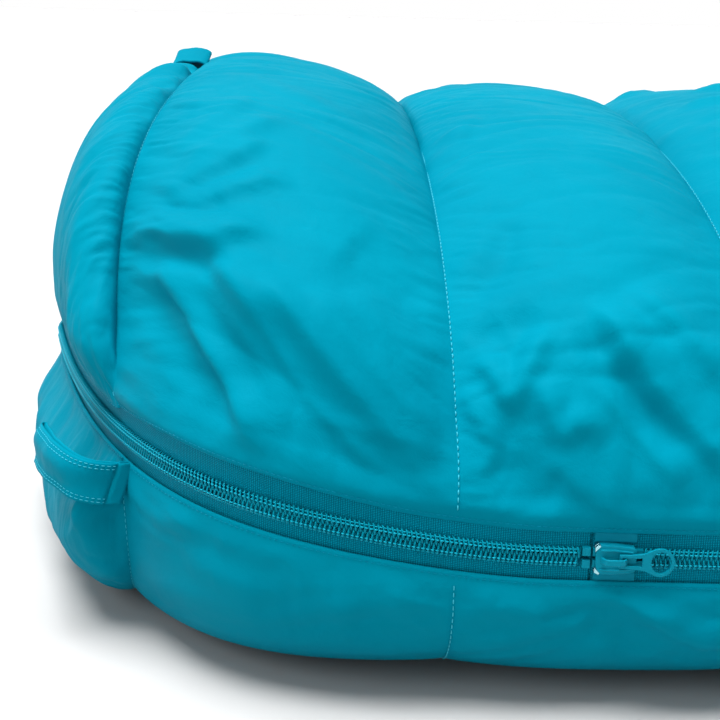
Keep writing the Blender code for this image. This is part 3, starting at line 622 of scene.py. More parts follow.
def taffeta(name, light, dark, weave_mm, crinkle, roughness):
    material, tree, shader = start_material(name, IOR=1.30, Specular_IOR_Level=0.05, Sheen_Weight=0.015,
                                            Sheen_Roughness=0.45, Specular_Tint=colour("#00c8e6"),
                                            Sheen_Tint=colour("#00c0e0"))
    flat = add_node(tree, "ShaderNodeAttribute", attribute_name="flat_place").outputs["Vector"]
    threads = {"Vector": flat, "Scale": TAU / (20.0 * weave_mm * MM), "Distortion": 0.6, "Detail": 1.0}
    warp, weft = [add_node(tree, "ShaderNodeTexWave", threads, bands_direction=way) for way in "XY"]
    weave = add_node(tree, "ShaderNodeMath", {0: warp.outputs["Fac"], 1: weft.outputs["Fac"]},
                     operation="MAXIMUM")
    dye = add_node(tree, "ShaderNodeTexNoise", {"Vector": flat, "Scale": 16.0, "Detail": 4.0,
                   "Roughness": 0.55})
    dye_range = add_node(tree, "ShaderNodeMapRange", {"Value": dye.outputs["Fac"], "From Min": 0.36,
                         "From Max": 0.64})
    two_tone(tree, shader, dye_range.outputs["Result"], dark, light)
    creases = add_node(tree, "ShaderNodeTexNoise", {"Vector": flat, "Scale": 140.0, "Detail": 5.0,
                       "Roughness": 0.6, "Distortion": 0.4})
    weave_bump = add_node(tree, "ShaderNodeBump", {"Height": weave.outputs["Value"], "Strength": 0.10,
                          "Distance": 0.05 * MM})
    bump = add_node(tree, "ShaderNodeBump", {"Height": creases.outputs["Fac"], "Strength": 0.35,
                    "Distance": crinkle * MM, "Normal": weave_bump.outputs["Normal"]})
    tree.links.new(bump.outputs["Normal"], shader.inputs["Normal"])
    gloss = add_node(tree, "ShaderNodeMapRange", {"Value": creases.outputs["Fac"], "From Min": 0.3,
                     "From Max": 0.7, "To Min": roughness - 0.05, "To Max": roughness + 0.07})
    tree.links.new(gloss.outputs["Result"], shader.inputs["Roughness"])
    return material


shell_cloth = taffeta("calendered_nylon_taffeta", "#00798f", "#007389", 0.5, 1.1, 0.56)
lining_cloth = taffeta("downproof_lining_taffeta", "#2f4550", "#2a3e49", 0.5, 0.4, 0.60)
print("cloths:", shell_cloth.name, lining_cloth.name)

# %% [markdown]
# ## The chambers
# Each chamber is a closed pad in real life: shell outside, lining inside, mesh walls at its seams and
# down between. The shell of each is a fine grid, from one seam to the next and round from the upper edge
# of the zip to the lower one, and it ends in a narrow hem that turns under at the zip.

# %% The hem and one chamber's shell
HEM_INSET = 1.3 * MM          # the hem's stitches run this far in from its folded edge
seam_rows, panel_edges, hem_rows = {}, {}, {"upper": [], "lower": []}


def hem_rise(station):
    """Height of the folded edge above the zip. It draws back a little round the foot's corner."""
    return EDGE_RISE + 2.8 * MM * smooth((station - 0.035) / 0.03) * smooth((0.150 - station) / 0.06)


def chamber_grid(chamber, arc, step):
    """Stations, shares and turns of a chamber's points."""
    count = int(CHAMBER_PITCHES[chamber] / step) + 1
    share = np.linspace(0.0, 1.0, count)[:, None]
    arcs = np.broadcast_to(arc[None, :], (count, len(arc)))
    begin = SEAMS[chamber] + 0.0 * arcs
    if chamber == 0:
        begin = foot_seam(np.interp(arcs, ARC_LIST, TURN_LIST))
    station = mix(begin, SEAMS[chamber + 1], share)
    near = arcs < 0.05
    shift = (hem_rise(station) - EDGE_RISE) * smooth((0.05 - arcs) / 0.04)
    arcs = np.where(near, arcs + shift, arcs)
    return station, share + 0.0 * station, arcs, turn_of(arcs, station)


def cloth_lift(arcs):
    """Beside the zip the folded hem and the seam allowance in it hold the cloth off the tape."""
    from_zip = np.abs(signed_arc(arcs))
    allowance = np.where(signed_arc(arcs) > 0, 1.7 * MM, 0.3 * MM)
    allowance = allowance * smooth((from_zip - EDGE_RISE) / (5.4 * MM))
    return (1.4 * MM + allowance) * (1.0 - smooth((from_zip - 13.0 * MM) / (30.0 * MM)))


def turned_hem(edge, beside, out):
    """Three rows of points that take an edge round and back under the cloth."""
    onward = unit(edge - beside)
    return [edge + onward * 0.35 * MM - out * 0.35 * MM, edge - out * 0.9 * MM,
            edge - out * 1.0 * MM - onward * 3.0 * MM]


def make_chamber(chamber):
    fine, coarse = (1.25 * MM, 4.0 * MM) if chamber < NEAR_CHAMBERS else (3.2 * MM, 7.0 * MM)
    arc = columns(fine, coarse, EDGE_RISE, GIRTH - EDGE_RISE)
    station, share, arcs, turn = chamber_grid(chamber, arc, fine)
    outer, _ = shell_and_lining(station, share, turn)
    grid = place(station, outer)
    normal = grid_normals(grid)
    relief = chamber_relief(chamber, station, share, arcs)
    grid = grid + normal * (relief + cloth_lift(arcs))[..., None]
    grid[..., 2] = np.maximum(grid[..., 2], 0.0)
    if chamber == 0:
        seam_rows[0] = (grid[0], grid_normals(grid)[0])
    seam_rows[chamber + 1] = (grid[-1], grid_normals(grid)[-1])
    for half, edge, beside in (("upper", 0, 1), ("lower", -1, -2)):
        step = np.linalg.norm(grid[:, beside] - grid[:, edge], axis=-1, keepdims=True)
        hem_rows[half].append(mix(grid[:, edge], grid[:, beside], HEM_INSET / step))
    above = turned_hem(grid[:, 0], grid[:, 1], normal[:, 0])[::-1]
    below = turned_hem(grid[:, -1], grid[:, -2], normal[:, -1])
    grid = np.concatenate([np.stack(above, 1), grid, np.stack(below, 1)], 1)
    flat = together(station[:, :1], np.concatenate([[arc[0]] * 3, arc, [arc[-1]] * 3]), 0.0)
    return make_sheet(f"chamber_shell_{chamber + 1:02d}", grid, shell_cloth, flat)


for index in range(CHAMBER_COUNT):
    made = make_chamber(index)
print("chambers:", len(pieces), "and the last one has", len(made.data.polygons), "faces")

# %% [markdown]
# ## The foot panels
# Two caps close the foot, one above the foot zip and one below. The upper one is gathered strongly where
# it meets the first chamber, and its pleats fan out from the foot seam and from the loop on its crest.

# %% Foot panels


def foot_relief(turn, swing, seam_arc, zip_arc, lower):
    seed = 700 if lower else 600
    height = signed_arc(np.interp(turn, TURN_LIST, ARC_LIST))
    relief = gathers(height, seam_arc, seed, 1.25)
    relief += gathers(height * 0.8, zip_arc, seed + 9, 0.8)
    relief += 1.3 * MM * ripple(height / (30.0 * MM), (seam_arc + 0.4 * height) / (42.0 * MM), seed + 20)
    fan = ripple(height / (13.0 * MM) + 4.0 * swing, 0.25 * swing, seed + 21)
    relief += 1.1 * MM * fan * smooth(seam_arc / (12.0 * MM))
    crest = 0.0 if lower else 1.0
    relief += crest * 2.2 * MM * np.sin(turn * 58.0) * np.exp(-((turn - 1.5) / 0.22) ** 2 - seam_arc / 0.03)
    return relief


def make_foot(lower):
    arc = columns(1.4 * MM, 4.0 * MM, EDGE_RISE + 0.2 * MM, GIRTH - EDGE_RISE - 0.2 * MM)
    turn_row = turn_of(arc, FOOT_SEAM)
    turn_row = turn_row[turn_row > math.pi] if lower else turn_row[turn_row <= math.pi]
    rise = panel_rise(turn_row)
    keep = rise > EDGE_RISE + 0.1 * MM
    turn_row, rise = turn_row[keep], rise[keep]
    last = np.arccos(np.clip(EDGE_RISE / rise, 0.0, 1.0))
    share = np.linspace(0.0, 1.0, 84)[:, None]
    turn, swing = turn_row + 0.0 * share, last * share
    grid = foot_panel(turn, swing)
    down = np.concatenate([np.zeros((1, len(turn_row))),
                           np.cumsum(np.linalg.norm(np.diff(grid, axis=0), axis=-1), axis=0)])
    to_zip = down[-1] - down
    smooth_base = foot_base(turn, swing) + np.array([FOOT_X, 0.0, 0.0])
    grid = mix(smooth_base, grid, smooth(to_zip / (24.0 * MM))[..., None])
    normal = grid_normals(grid)
    centre = np.array([FOOT_X + FOOT_SEAM + 0.02, 0.0, zip_height(0.03)])
    normal = np.where(np.sum(normal * (grid - centre), -1, keepdims=True) < 0, -normal, normal)
    still = smooth(down / (6.0 * MM)) * smooth(to_zip / (8.0 * MM))
    still *= smooth((rise - EDGE_RISE) / (14.0 * MM))
    floor_share = smooth(grid[..., 2] / 0.02) if lower else 1.0
    lift = 1.5 * MM * (1.0 - smooth((to_zip - 6.0 * MM) / (18.0 * MM)))
    relief = foot_relief(turn, swing, down, to_zip, lower) * still * floor_share
    grid = grid + normal * (relief + lift * smooth((rise - EDGE_RISE) / (6.0 * MM)))[..., None]
    grid[..., 2] = np.maximum(grid[..., 2], 0.0)
    half = "lower" if lower else "upper"
    panel_edges[half] = (grid[-2], grid[-1])
    grid = np.concatenate([grid, grid[-1:] - normal[-1:] * 0.9 * MM])
    flat = together(np.concatenate([down, down[-1:]]), np.interp(turn_row, TURN_LIST, ARC_LIST), 0.0)
    return make_sheet(f"foot_panel_{half}", grid, shell_cloth, flat)


def make_foot_closure():
    """Beyond the end of the foot zip the two panels are one cloth, with a shallow tuck where they meet."""
    rows = []
    for _, edge in panel_edges.values():
        edge = edge[np.argsort(edge[:, 1])]
        edge = edge[edge[:, 1] > 0.0]
        run = lengths(edge)
        begin = np.interp(0.100, edge[:, 1], run)
        rows.append(read_off(np.linspace(begin, run[-1], 60), run, edge))
    share = np.linspace(0.0, 1.0, 15)[:, None, None]
    grid = mix(rows[0][None], rows[1][None], share)
    out = grid - np.array([FOOT_X + 0.12, 0.0, 0.0797])
    out[..., 2] = 0.0
    bulge = 1.6 * np.sin(math.pi * share) - 1.5 * np.exp(-((share - 0.5) / 0.10) ** 2) - 0.2
    grid = grid + unit(out) * bulge * MM
    flat = together(2.0 * MM * np.arange(1.0, 61.0), 17.0 * MM * share[..., 0], 0.0)
    return make_sheet("foot_panel_closure", grid, shell_cloth, flat)


foot_upper = make_foot(lower=False)
foot_lower = make_foot(lower=True)
make_foot_closure()
print("foot panels:", len(foot_upper.data.polygons), "and", len(foot_lower.data.polygons), "faces")

# %% [markdown]
# ## The lining
# Inside, the lining is cut narrower than the shell, and so the down pushes the shell outwards and the
# lining stays nearly smooth, with a shallow swell between its seams. At each side it turns over the ends
# of the chambers to meet the zip. At the head a binding closes the last chamber.

# %% Lining, foot lining and head binding


def make_lining():
    arc = columns(9.0 * MM, 12.0 * MM, EDGE_RISE + 4.0 * MM, GIRTH - EDGE_RISE - 4.0 * MM)
    rows = []
    for chamber in range(CHAMBER_COUNT):
        station, share, arcs, turn = chamber_grid(chamber, arc, CHAMBER_PITCHES[chamber] / 10.0)
        outer, inner = shell_and_lining(station, share, turn)
        inward = unit(inner - outer)
        fall = 3.5 * MM * puff_profile(share) * smooth((np.abs(signed_arc(arcs)) - 0.02) / 0.06)
        fall += 0.8 * MM * ripple(station / 0.03, arcs / 0.03, 55) * puff_profile(share)
        middle = place(station, inner + inward * fall[..., None])
        ends = [place(station[:, k], outer[:, k] + inward[:, k] * 1.6 * MM)[:, None] for k in (0, -1)]
        rows.append(np.concatenate([ends[0], middle, ends[1]], 1)[0 if chamber == 0 else 1:])
    grid = np.concatenate(rows)
    flat = together(grid[..., 0], np.concatenate([[arc[0]], arc, [arc[-1]]]), 0.0)
    return make_sheet("lining_cloth", grid, lining_cloth, flat)


def make_foot_lining(lower):
    """A shallow cap inside the foot."""
    arc = columns(8.0 * MM, 12.0 * MM, EDGE_RISE + 16.0 * MM, GIRTH - EDGE_RISE - 16.0 * MM)
    turn = turn_of(arc, FOOT_SEAM)
    turn = turn[turn > math.pi] if lower else turn[turn <= math.pi]
    station = foot_seam(turn)
    _, inner = shell_and_lining(station, 0.0 * turn, turn)
    edge = place(station, inner)
    core = edge.copy()
    core[:, 1] *= 0.97
    core[:, 2] = zip_height(FOOT_SEAM) + (-12.3 if lower else 12.3) * MM
    share = np.linspace(0.0, 1.0, 14)[:, None, None]
    grid = mix(edge[None], core[None], share)
    grid[..., 0] -= 1.0 * MM + 2.5 * MM * np.sin(math.pi * share[..., 0])
    make_sheet(f"foot_lining_cap_{'lower' if lower else 'upper'}", grid, lining_cloth, grid)


def make_head_binding():
    arc = columns(3.0 * MM, 6.0 * MM, EDGE_RISE, GIRTH - EDGE_RISE)
    station = np.full(len(arc), LENGTH)
    turn = turn_of(arc, station)
    outer, inner = shell_and_lining(station, 1.0 + 0.0 * station, turn)
    rows = []
    for angle in np.linspace(0.0, math.pi, 9):
        flat = mix(outer, inner, 0.5 - 0.5 * math.cos(angle))
        row = place(station, flat)
        row[:, 0] += 3.0 * MM * math.sin(angle)
        row[:, 0] += 0.35 * MM * math.sin(angle) * ripple(arc / (5 * MM), 0 * arc, 61)
        rows.append(row)
    flat = together(3.0 * MM * np.arange(9.0)[:, None], arc, 0.0)
    make_sheet("head_binding", np.array(rows), shell_cloth, flat)


lining = make_lining()
make_foot_lining(lower=False)
make_foot_lining(lower=True)
make_head_binding()
print("lining:", len(lining.data.polygons), "faces")

# %% [markdown]
# ## Thread
# Every seam here is a lockstitch in polyester thread, paler than the cloth because it is spun and
# catches the light. The stitches are 2.4 mm apart. Each is a short fat tube that dips at both ends.

# %% Stitches
STITCH_PITCH = 2.4 * MM

spun_thread, thread_tree, thread_shader = start_material("spun_polyester_thread", Roughness=0.55,
                                                         Specular_IOR_Level=0.35)
thread_twist = add_node(thread_tree, "ShaderNodeTexNoise", {"Scale": 2500.0, "Detail": 2.0})
two_tone(thread_tree, thread_shader, thread_twist.outputs["Fac"], "#0e8fa6", "#2fb2c6")


def stitch_row(name, path, out, pitch=STITCH_PITCH, length=1.6 * MM, radius=0.14 * MM, raise_by=0.1 * MM,
               material=spun_thread):
    """A row of stitches along a path of points, on the side that `out` points to."""
    run = lengths(path)
    starts = np.arange(0.5 * pitch, run[-1] - length, pitch)
    shares = np.array([0.0, 0.12, 0.5, 0.88, 1.0])
    heights = np.array([-0.10, 0.08, 0.16, 0.08, -0.10]) * MM
    widths = np.array([0.35, 0.9, 1.0, 0.9, 0.35]) * radius
    distance = (starts[:, None] + shares[None] * length).ravel()
    centre = read_off(distance, run, path).reshape(len(starts), 5, 3)
    normal = unit(read_off(distance, run, out).reshape(len(starts), 5, 3))
    centre = centre + normal * (heights + raise_by)[None, :, None]
    side = unit(np.cross(centre[:, -1:] - centre[:, :1], normal))
    angle = TAU * np.arange(6) / 6
    ring = (side[:, :, None] * np.cos(angle)[:, None] + normal[:, :, None] * np.sin(angle)[:, None])
    points = centre[:, :, None] + ring * widths[None, :, None, None]
    one = grid_faces(5, 6, closed=True)
    faces = (one[None] + (np.arange(len(starts)) * 30)[:, None, None]).reshape(-1, 4)
    make_piece(name, points, faces, material)


for index in range(CHAMBER_COUNT):
    path, normal = seam_rows[index]
    stitch_row(f"seam_thread_{index:02d}", path[2:-2], normal[2:-2],
               radius=(0.20 if index in (1, 2) else 0.14) * MM, raise_by=(0.35 if index else 0.05) * MM)
print("seam threads:", sum(name.startswith("seam_thread") for name in pieces))

# %% [markdown]
# ## The zip's tape and coil
# A coil zip is a nylon thread wound into a flat spring and sewn to a woven polyester tape. A number 5
# coil has a turn each 1.52 mm. The two halves lie half a turn apart, so that the turns of one sit between
# those of the other. Two rows of bright stitches hold each coil down on its tape.

# %% Zip finishes


def woven_tape(name, light, dark, rib_mm):
    material, tree, shader = start_material(name, Roughness=0.7, Specular_IOR_Level=0.25,
                                            Specular_Tint=colour("#00b4cc"))
    flat = add_node(tree, "ShaderNodeAttribute", attribute_name="flat_place").outputs["Vector"]
    scale = TAU / (20.0 * rib_mm * MM)
    ribs = add_node(tree, "ShaderNodeTexWave", {"Vector": flat, "Scale": scale, "Distortion": 1.5,
                    "Detail": 1.0, "Detail Scale": 2.0}, bands_direction="X")
    cross = add_node(tree, "ShaderNodeTexWave", {"Vector": flat, "Scale": scale * 1.3, "Distortion": 1.0},
                     bands_direction="Y")
    weave = add_node(tree, "ShaderNodeMath", {0: ribs.outputs["Fac"], 1: cross.outputs["Fac"]},
                     operation="MULTIPLY")
    two_tone(tree, shader, weave.outputs["Value"], dark, light)
    bump = add_node(tree, "ShaderNodeBump", {"Height": weave.outputs["Value"], "Strength": 0.8,
                    "Distance": 0.25 * MM})
    tree.links.new(bump.outputs["Normal"], shader.inputs["Normal"])
    return material


def hard_finish(name, light, dark, roughness, metallic=0.0, tint="#ffffff", grain=900.0):
    """Plastic, paint, metal or thread, slightly uneven in colour, gloss and surface."""
    material, tree, shader = start_material(name, Metallic=metallic, Specular_Tint=colour(tint))
    place_in = add_node(tree, "ShaderNodeTexCoord").outputs["Object"]
    noise = add_node(tree, "ShaderNodeTexNoise", {"Vector": place_in, "Scale": grain, "Detail": 3.0})
    two_tone(tree, shader, noise.outputs["Fac"], dark, light)
    gloss = add_node(tree, "ShaderNodeMapRange", {"Value": noise.outputs["Fac"],
                     "To Min": roughness - 0.06, "To Max": roughness + 0.08})
    tree.links.new(gloss.outputs["Result"], shader.inputs["Roughness"])
    bump = add_node(tree, "ShaderNodeBump", {"Height": noise.outputs["Fac"], "Strength": 0.3,
                    "Distance": 0.02 * MM})
    tree.links.new(bump.outputs["Normal"], shader.inputs["Normal"])
    return material


tape_weave = woven_tape("woven_polyester_tape", "#00a0bc", "#006076", 0.75)
coil_nylon = hard_finish("drawn_nylon_coil", "#00869c", "#006c80", 0.38, tint="#30c8de")
painted_zinc = hard_finish("painted_zinc_casting", "#007c92", "#007288", 0.36, tint="#50d0e4")
# Bare metal for the stops and the slider's lips, its colour tinted cyan-white as a painted glint.
bare_metal_painted_glint = hard_finish("zinc_alloy_bare_with_painted_glint", "#b9dfe4", "#7fc4cf", 0.25, metallic=1.0)
film_plastic = hard_finish("welded_reinforcing_film", "#00758c", "#006a80", 0.42, tint="#40c8e0",
                           grain=300.0)
coil_thread = hard_finish("filament_polyester_thread", "#10a2ba", "#00849c", 0.45, tint="#60e0f0")
hem_thread = hard_finish("dyed_polyester_thread", "#00809a", "#006880", 0.6, tint="#40c8e0")

# %% The tracks of both zips
SIDE_START, SIDE_END = 0.1976, LENGTH - 0.006
FOOT_START, FAR_END = 0.1968, 0.110
TAPE_WIDE = 11.3 * MM         # each tape reaches this far from the zip line
COIL_PITCH = 1.52 * MM
UP = np.array([0.0, 0.0, 1.0])


def outward(points):
    along = np.gradient(points, axis=0)
    normal = unit(together(along[:, 1], -along[:, 0], 0.0))
    return np.where(np.sum(normal * points, -1, keepdims=True) < 0, -normal, normal)


def side_track(start, end, step=2.0 * MM):
    s = np.linspace(start, end, max(2, int((end - start) / step)))
    points = together(s + FOOT_X, -half_width(s), zip_height(s))
    return points, outward(points)


def foot_track():
    bend = FOOT_START * np.linspace(1.0, 0.0, 260) ** 2.0
    corner = together(bend + FOOT_X, -half_width(bend), zip_height(bend))
    straight = together(FOOT_X, np.linspace(-0.060, FAR_END, 90)[1:], zip_height(0.0))
    points = np.concatenate([corner, straight])
    return points, outward(points)


def along_track(track, distance):
    """Points and outward directions at distances along a track."""
    points, out = track
    run = lengths(points)
    return read_off(distance, run, points), unit(read_off(distance, run, out))


# %% [markdown]
# The tape is a thin strip that follows the zip line and ripples a little where it was sewn to the
# gathered cloth. Its selvedge is hidden under the hem.

# %% Tapes


def make_tape(name, track, sign):
    run = lengths(track[0])
    distance = np.linspace(0.0, run[-1], int(run[-1] / (1.6 * MM)))
    points, out = along_track(track, distance)
    rise = np.linspace(1.0 * MM, TAPE_WIDE, 12)
    wave = 0.22 * MM * ripple(distance[:, None] / (16.0 * MM), rise[None] / (6.0 * MM) + 3 * sign, 81)
    wave = wave * smooth((rise - 4.0 * MM) / (4.0 * MM))[None]
    front = points[:, None] + sign * UP * rise[None, :, None] + out[:, None] * wave[..., None]
    back = front - out[:, None] * 0.6 * MM
    flat = together(distance[:, None], np.concatenate([rise, rise[::-1]]), 0.0)
    make_sheet(name, np.concatenate([front, back[:, ::-1]], 1), tape_weave, flat, closed=True)


def make_coil(name, track, sign, start, end):
    """One half of the coil: a flat spring whose turns reach just past the zip's middle."""
    turns = int((end - start) / COIL_PITCH)
    shift = 0.5 * COIL_PITCH if sign < 0 else 0.0
    loop = np.array([(-0.55, 0.55, 2.95), (-0.32, 0.62, 1.6), (-0.10, 0.80, 0.15), (0.0, 1.25, -0.38),
                     (0.10, 1.72, 0.15), (0.32, 1.88, 1.6), (0.50, 1.70, 2.95), (0.68, 1.10, 3.1)]) * MM
    distance = (start + shift + np.arange(turns) * COIL_PITCH)[:, None] + loop[None, :, 0]
    points, out = along_track(track, distance.ravel())
    points = points + out * np.tile(loop[:, 1], turns)[:, None]
    points[:, 2] += sign * np.tile(loop[:, 2], turns)
    after = along_track(track, distance.ravel() + 0.5 * MM)[0]
    before = along_track(track, distance.ravel() - 0.5 * MM)[0]
    make_piece(name, *tube(points, 0.36 * MM, after - before), coil_nylon)
    for k, (height, lift, radius) in enumerate(((1.75, 2.02, 0.27), (2.75, 1.62, 0.20))):
        centre, way = along_track(track, np.arange(start, end, 0.4 * MM))
        centre = centre + way * lift * MM + sign * UP * height * MM
        stitch_row(f"{name}_thread_{k + 1}", centre, way, COIL_PITCH, 1.12 * MM, radius * MM, 0.12 * MM,
                   coil_thread)


side_whole, foot_whole = side_track(SIDE_START, SIDE_END), foot_track()
side_run, foot_run = lengths(side_whole[0])[-1], lengths(foot_whole[0])[-1]
for half, sign in (("upper", 1.0), ("lower", -1.0)):
    make_tape(f"side_tape_{half}", side_whole, sign)
    make_tape(f"foot_tape_{half}", foot_whole, sign)
    make_coil(f"side_coil_{half}", side_whole, sign, 16.3 * MM, side_run - 3.0 * MM)
    make_coil(f"foot_coil_{half}", foot_whole, sign, 3.4 * MM, foot_run - 3.4 * MM)
print("zips:", round(side_run, 3), "m at the side and", round(foot_run, 3), "m round the foot")

# %% [markdown]
# ## Hem stitches
# Each hem is sewn down to the tape with one row of thread in the colour of the cloth, 1.3 mm in from
# its folded edge.

# %% Hem stitches
HEM_STITCH = {"pitch": 2.0 * MM, "length": 1.3 * MM, "radius": 0.13 * MM}


def hem_stitches():
    for half in ("upper", "lower"):
        side = np.concatenate(hem_rows[half])
        moved = np.linalg.norm(np.diff(side, axis=0), axis=-1) > 0.2 * MM
        side = side[np.concatenate([[True], moved])]
        for name, path in (("side", side), ("foot", panel_edges[half][0])):
            stitch_row(f"{name}_hem_thread_{half}", path, outward(path), **HEM_STITCH,
                       material=hem_thread)


hem_stitches()

# %% [markdown]
# ## Sliders and pulls
# A slider is a zinc casting with two plates, joined by a post at its wide nose. Its top plate has turned
# down sides, and a bridge holds the pull's crossbar. The casting is painted to match the tape, except at
# the edges of its mouth, where the coil has rubbed the paint off; these bare lips are also made bright as a
# painted glint. All parts are outlines given thickness and softened by a bevel, as a casting is softened
# by its mould.

# %% Outlines with thickness


def slab_from(outline, low, high, hole=None):
    """A bmesh prism from an outline of (along, across) points, between two heights out of the tape."""
    bm = bmesh.new()
    rings = []
    for height in (low, high):
        rings.append([[bm.verts.new((a * MM, height * MM, w * MM)) for a, w in line]
                      for line in ([outline] if hole is None else [outline, hole])])
    for ring in rings:
        if hole is None:
            bm.faces.new(ring[0])
        else:
            for i in range(len(outline)):
                j = (i + 1) % len(outline)
                bm.faces.new((ring[0][i], ring[0][j], ring[1][j], ring[1][i]))
    for k in range(len(rings[0])):
        for i in range(len(rings[0][k])):
            j = (i + 1) % len(rings[0][k])
            bm.faces.new((rings[0][k][i], rings[0][k][j], rings[1][k][j], rings[1][k][i]))
    bmesh.ops.recalc_face_normals(bm, faces=bm.faces)
    return bm


def join_solids(name, solids, material, bevel, place_in):
    joined = bmesh.new()
    for bm in solids:
        part = bpy.data.meshes.new("part")
        bm.to_mesh(part)
        bm.free()
        joined.from_mesh(part)
        bpy.data.meshes.remove(part)
    mesh = bpy.data.meshes.new(name)
    joined.to_mesh(mesh)
    joined.free()
    mesh.polygons.foreach_set("use_smooth", np.ones(len(mesh.polygons), bool))
    mesh.transform(place_in)
    mesh.materials.append(material)
    obj = bpy.data.objects.new(name, mesh)
    bpy.context.scene.collection.objects.link(obj)
    soften = obj.modifiers.new("soft_edges", "BEVEL")
    soften.width = bevel * MM
    soften.segments = 3
    soften.limit_method = "ANGLE"
    soften.harden_normals = True
    pieces[name] = obj


def rounded(points, times=2):
    """Cuts the corners of an outline, each time rounder."""
    line = np.array(points, float)
    for _ in range(times):
        after = np.roll(line, -1, axis=0)
        line = np.stack([0.78 * line + 0.22 * after, 0.22 * line + 0.78 * after], 1).reshape(-1, 2)
    return [tuple(p) for p in line]


def bridge_strip(path, thick, half):
    """A bent strip through (along, out) points, as a closed bmesh."""
    path = np.array(path, float)
    way = unit(np.gradient(path, axis=0))
    side = np.stack([-way[:, 1], way[:, 0]], -1) * 0.5 * thick
    bm = bmesh.new()
    rows = []
    for p, d in zip(path, side):
        corners = [(p + d, -half), (p + d, half), (p - d, half), (p - d, -half)]
        rows.append([bm.verts.new((q[0] * MM, q[1] * MM, w * MM)) for q, w in corners])
    for a, b in zip(rows, rows[1:]):
        for i in range(4):
            bm.faces.new((a[i], a[(i + 1) % 4], b[(i + 1) % 4], b[i]))
    bm.faces.new(rows[0])
    bm.faces.new(rows[-1])
    bmesh.ops.recalc_face_normals(bm, faces=bm.faces)
    return bm


def slider_place(point, rear, out):
    rear, out = Vector(rear).normalized(), Vector(out).normalized()
    across = rear.cross(out)
    matrix = Matrix((rear, out, across)).transposed().to_4x4()
    matrix.translation = Vector(point)
    return matrix


# %% [markdown]
# The pull hangs on the bridge by two short arms, and widens from a flat tab into a thin ring that a
# finger or a cord can hold.

# %% Sliders and pulls


def make_slider(name, matrix):
    wide = [(-6.5, 2.6), (-6.5, -2.6), (-5.2, -4.9), (-0.6, -4.9), (6.0, -4.1), (6.5, -3.2), (6.5, 3.2),
            (6.0, 4.1), (-0.6, 4.9), (-5.2, 4.9)]
    plate = rounded(wide, 2)
    solids = [slab_from(plate, 2.7, 3.6), slab_from(plate, -1.9, -0.9)]
    for sign in (1.0, -1.0):
        flange = [(-5.2, 4.9), (-0.6, 4.9), (6.0, 4.15), (6.0, 3.5), (-0.6, 4.2), (-5.2, 4.2)]
        solids.append(slab_from([(a, sign * w) for a, w in flange], 0.4, 2.9))
        rail = [(-4.9, 3.6), (-0.5, 3.7), (5.4, 3.1), (5.4, 2.5), (-0.5, 3.0), (-4.9, 2.9)]
        solids.append(slab_from([(a, sign * w) for a, w in rail], 3.3, 4.2))
    solids.append(slab_from([(-6.3, 0.0), (-5.4, 0.75), (-4.3, 0.0), (-5.4, -0.75)], -1.2, 2.8))
    arch = [(-4.5, 3.3), (-4.1, 4.8), (-3.3, 5.75), (-2.0, 6.0), (1.2, 6.0), (2.3, 5.75), (2.95, 4.8),
            (3.3, 3.3)]
    solids.append(bridge_strip(arch, 0.85, 1.0))
    join_solids(name, solids, painted_zinc, 0.22, matrix)
    # Bare-metal lips where the paint is rubbed off, made bright cyan-white as a painted glint.
    lip_wear_and_glint = []
    for sign in (1.0, -1.0):
        corner = [(-6.75, 4.3), (-5.3, 5.05), (-5.0, 4.4)]
        for inner, outer, low, high in (((-6.0, 3.4), (-6.75, 2.5), 2.7, 3.75),
                                        ((-5.6, 3.85), (-6.75, 3.75), 1.2, 2.2)):
            lip = [(a, sign * w) for a, w in (outer, *corner, inner)]
            lip_wear_and_glint.append(slab_from(lip, low, high))
    join_solids(name + "_worn_lips", lip_wear_and_glint, bare_metal_painted_glint, 0.15, matrix)


def make_pull(name, matrix):
    angle = TAU * np.arange(48) / 48
    outer = np.stack([12.4 + 4.6 * np.cos(angle), 4.7 * np.sin(angle)], -1)
    tab = np.cos(angle) < -0.35
    share = np.clip((-0.35 - np.cos(angle)) / 0.65, 0.0, 1.0)
    outer[tab, 0] = np.minimum(10.4 - 3.7 * share[tab] ** 0.55, outer[tab, 0])
    half = (2.75 + 1.3 * (1.0 - share[tab]) ** 2.2) * (share[tab] < 0.999)
    outer[tab, 1] = np.sign(np.sin(angle[tab])) * half
    hole = np.stack([12.7 + 3.2 * np.cos(angle), 3.6 * np.sin(angle)], -1)
    solids = [slab_from([tuple(p) for p in outer], -0.5, 0.5, [tuple(p) for p in hole])]
    for sign in (1.0, -1.0):
        arm = [(-0.5, 1.3), (-0.5, 2.3), (3.0, 2.35), (7.2, 2.8), (7.4, 1.6), (5.8, 1.3)]
        solids.append(slab_from([(a, sign * w) for a, w in arm], -0.48, 0.48))
    bar = bmesh.new()
    bmesh.ops.create_cone(bar, cap_ends=True, segments=16, radius1=0.6 * MM, radius2=0.6 * MM,
                          depth=4.2 * MM)
    solids.append(bar)
    hung = matrix @ Matrix.Translation((1.4 * MM, 4.5 * MM, 0.0))
    join_solids(name, solids, painted_zinc, 0.2, hung)


def side_place(station, to_head):
    points, out = side_track(station, station + 0.01)
    along = Vector(points[1] - points[0])
    return slider_place(points[0], along if to_head else -along, out[0])


PLACES = {
    "side_lower": side_place(0.2048, True),
    "side_upper": side_place(LENGTH - 0.021, False),
    "foot": slider_place((FOOT_X, FAR_END - 0.011, 0.0795), (0.0, -1.0, 0.0), (-1.0, 0.0, 0.0)),
}
for name, matrix in PLACES.items():
    make_slider(f"{name}_slider_casting", matrix)
    make_pull(f"{name}_pull_casting", matrix)
print("sliders:", list(PLACES))
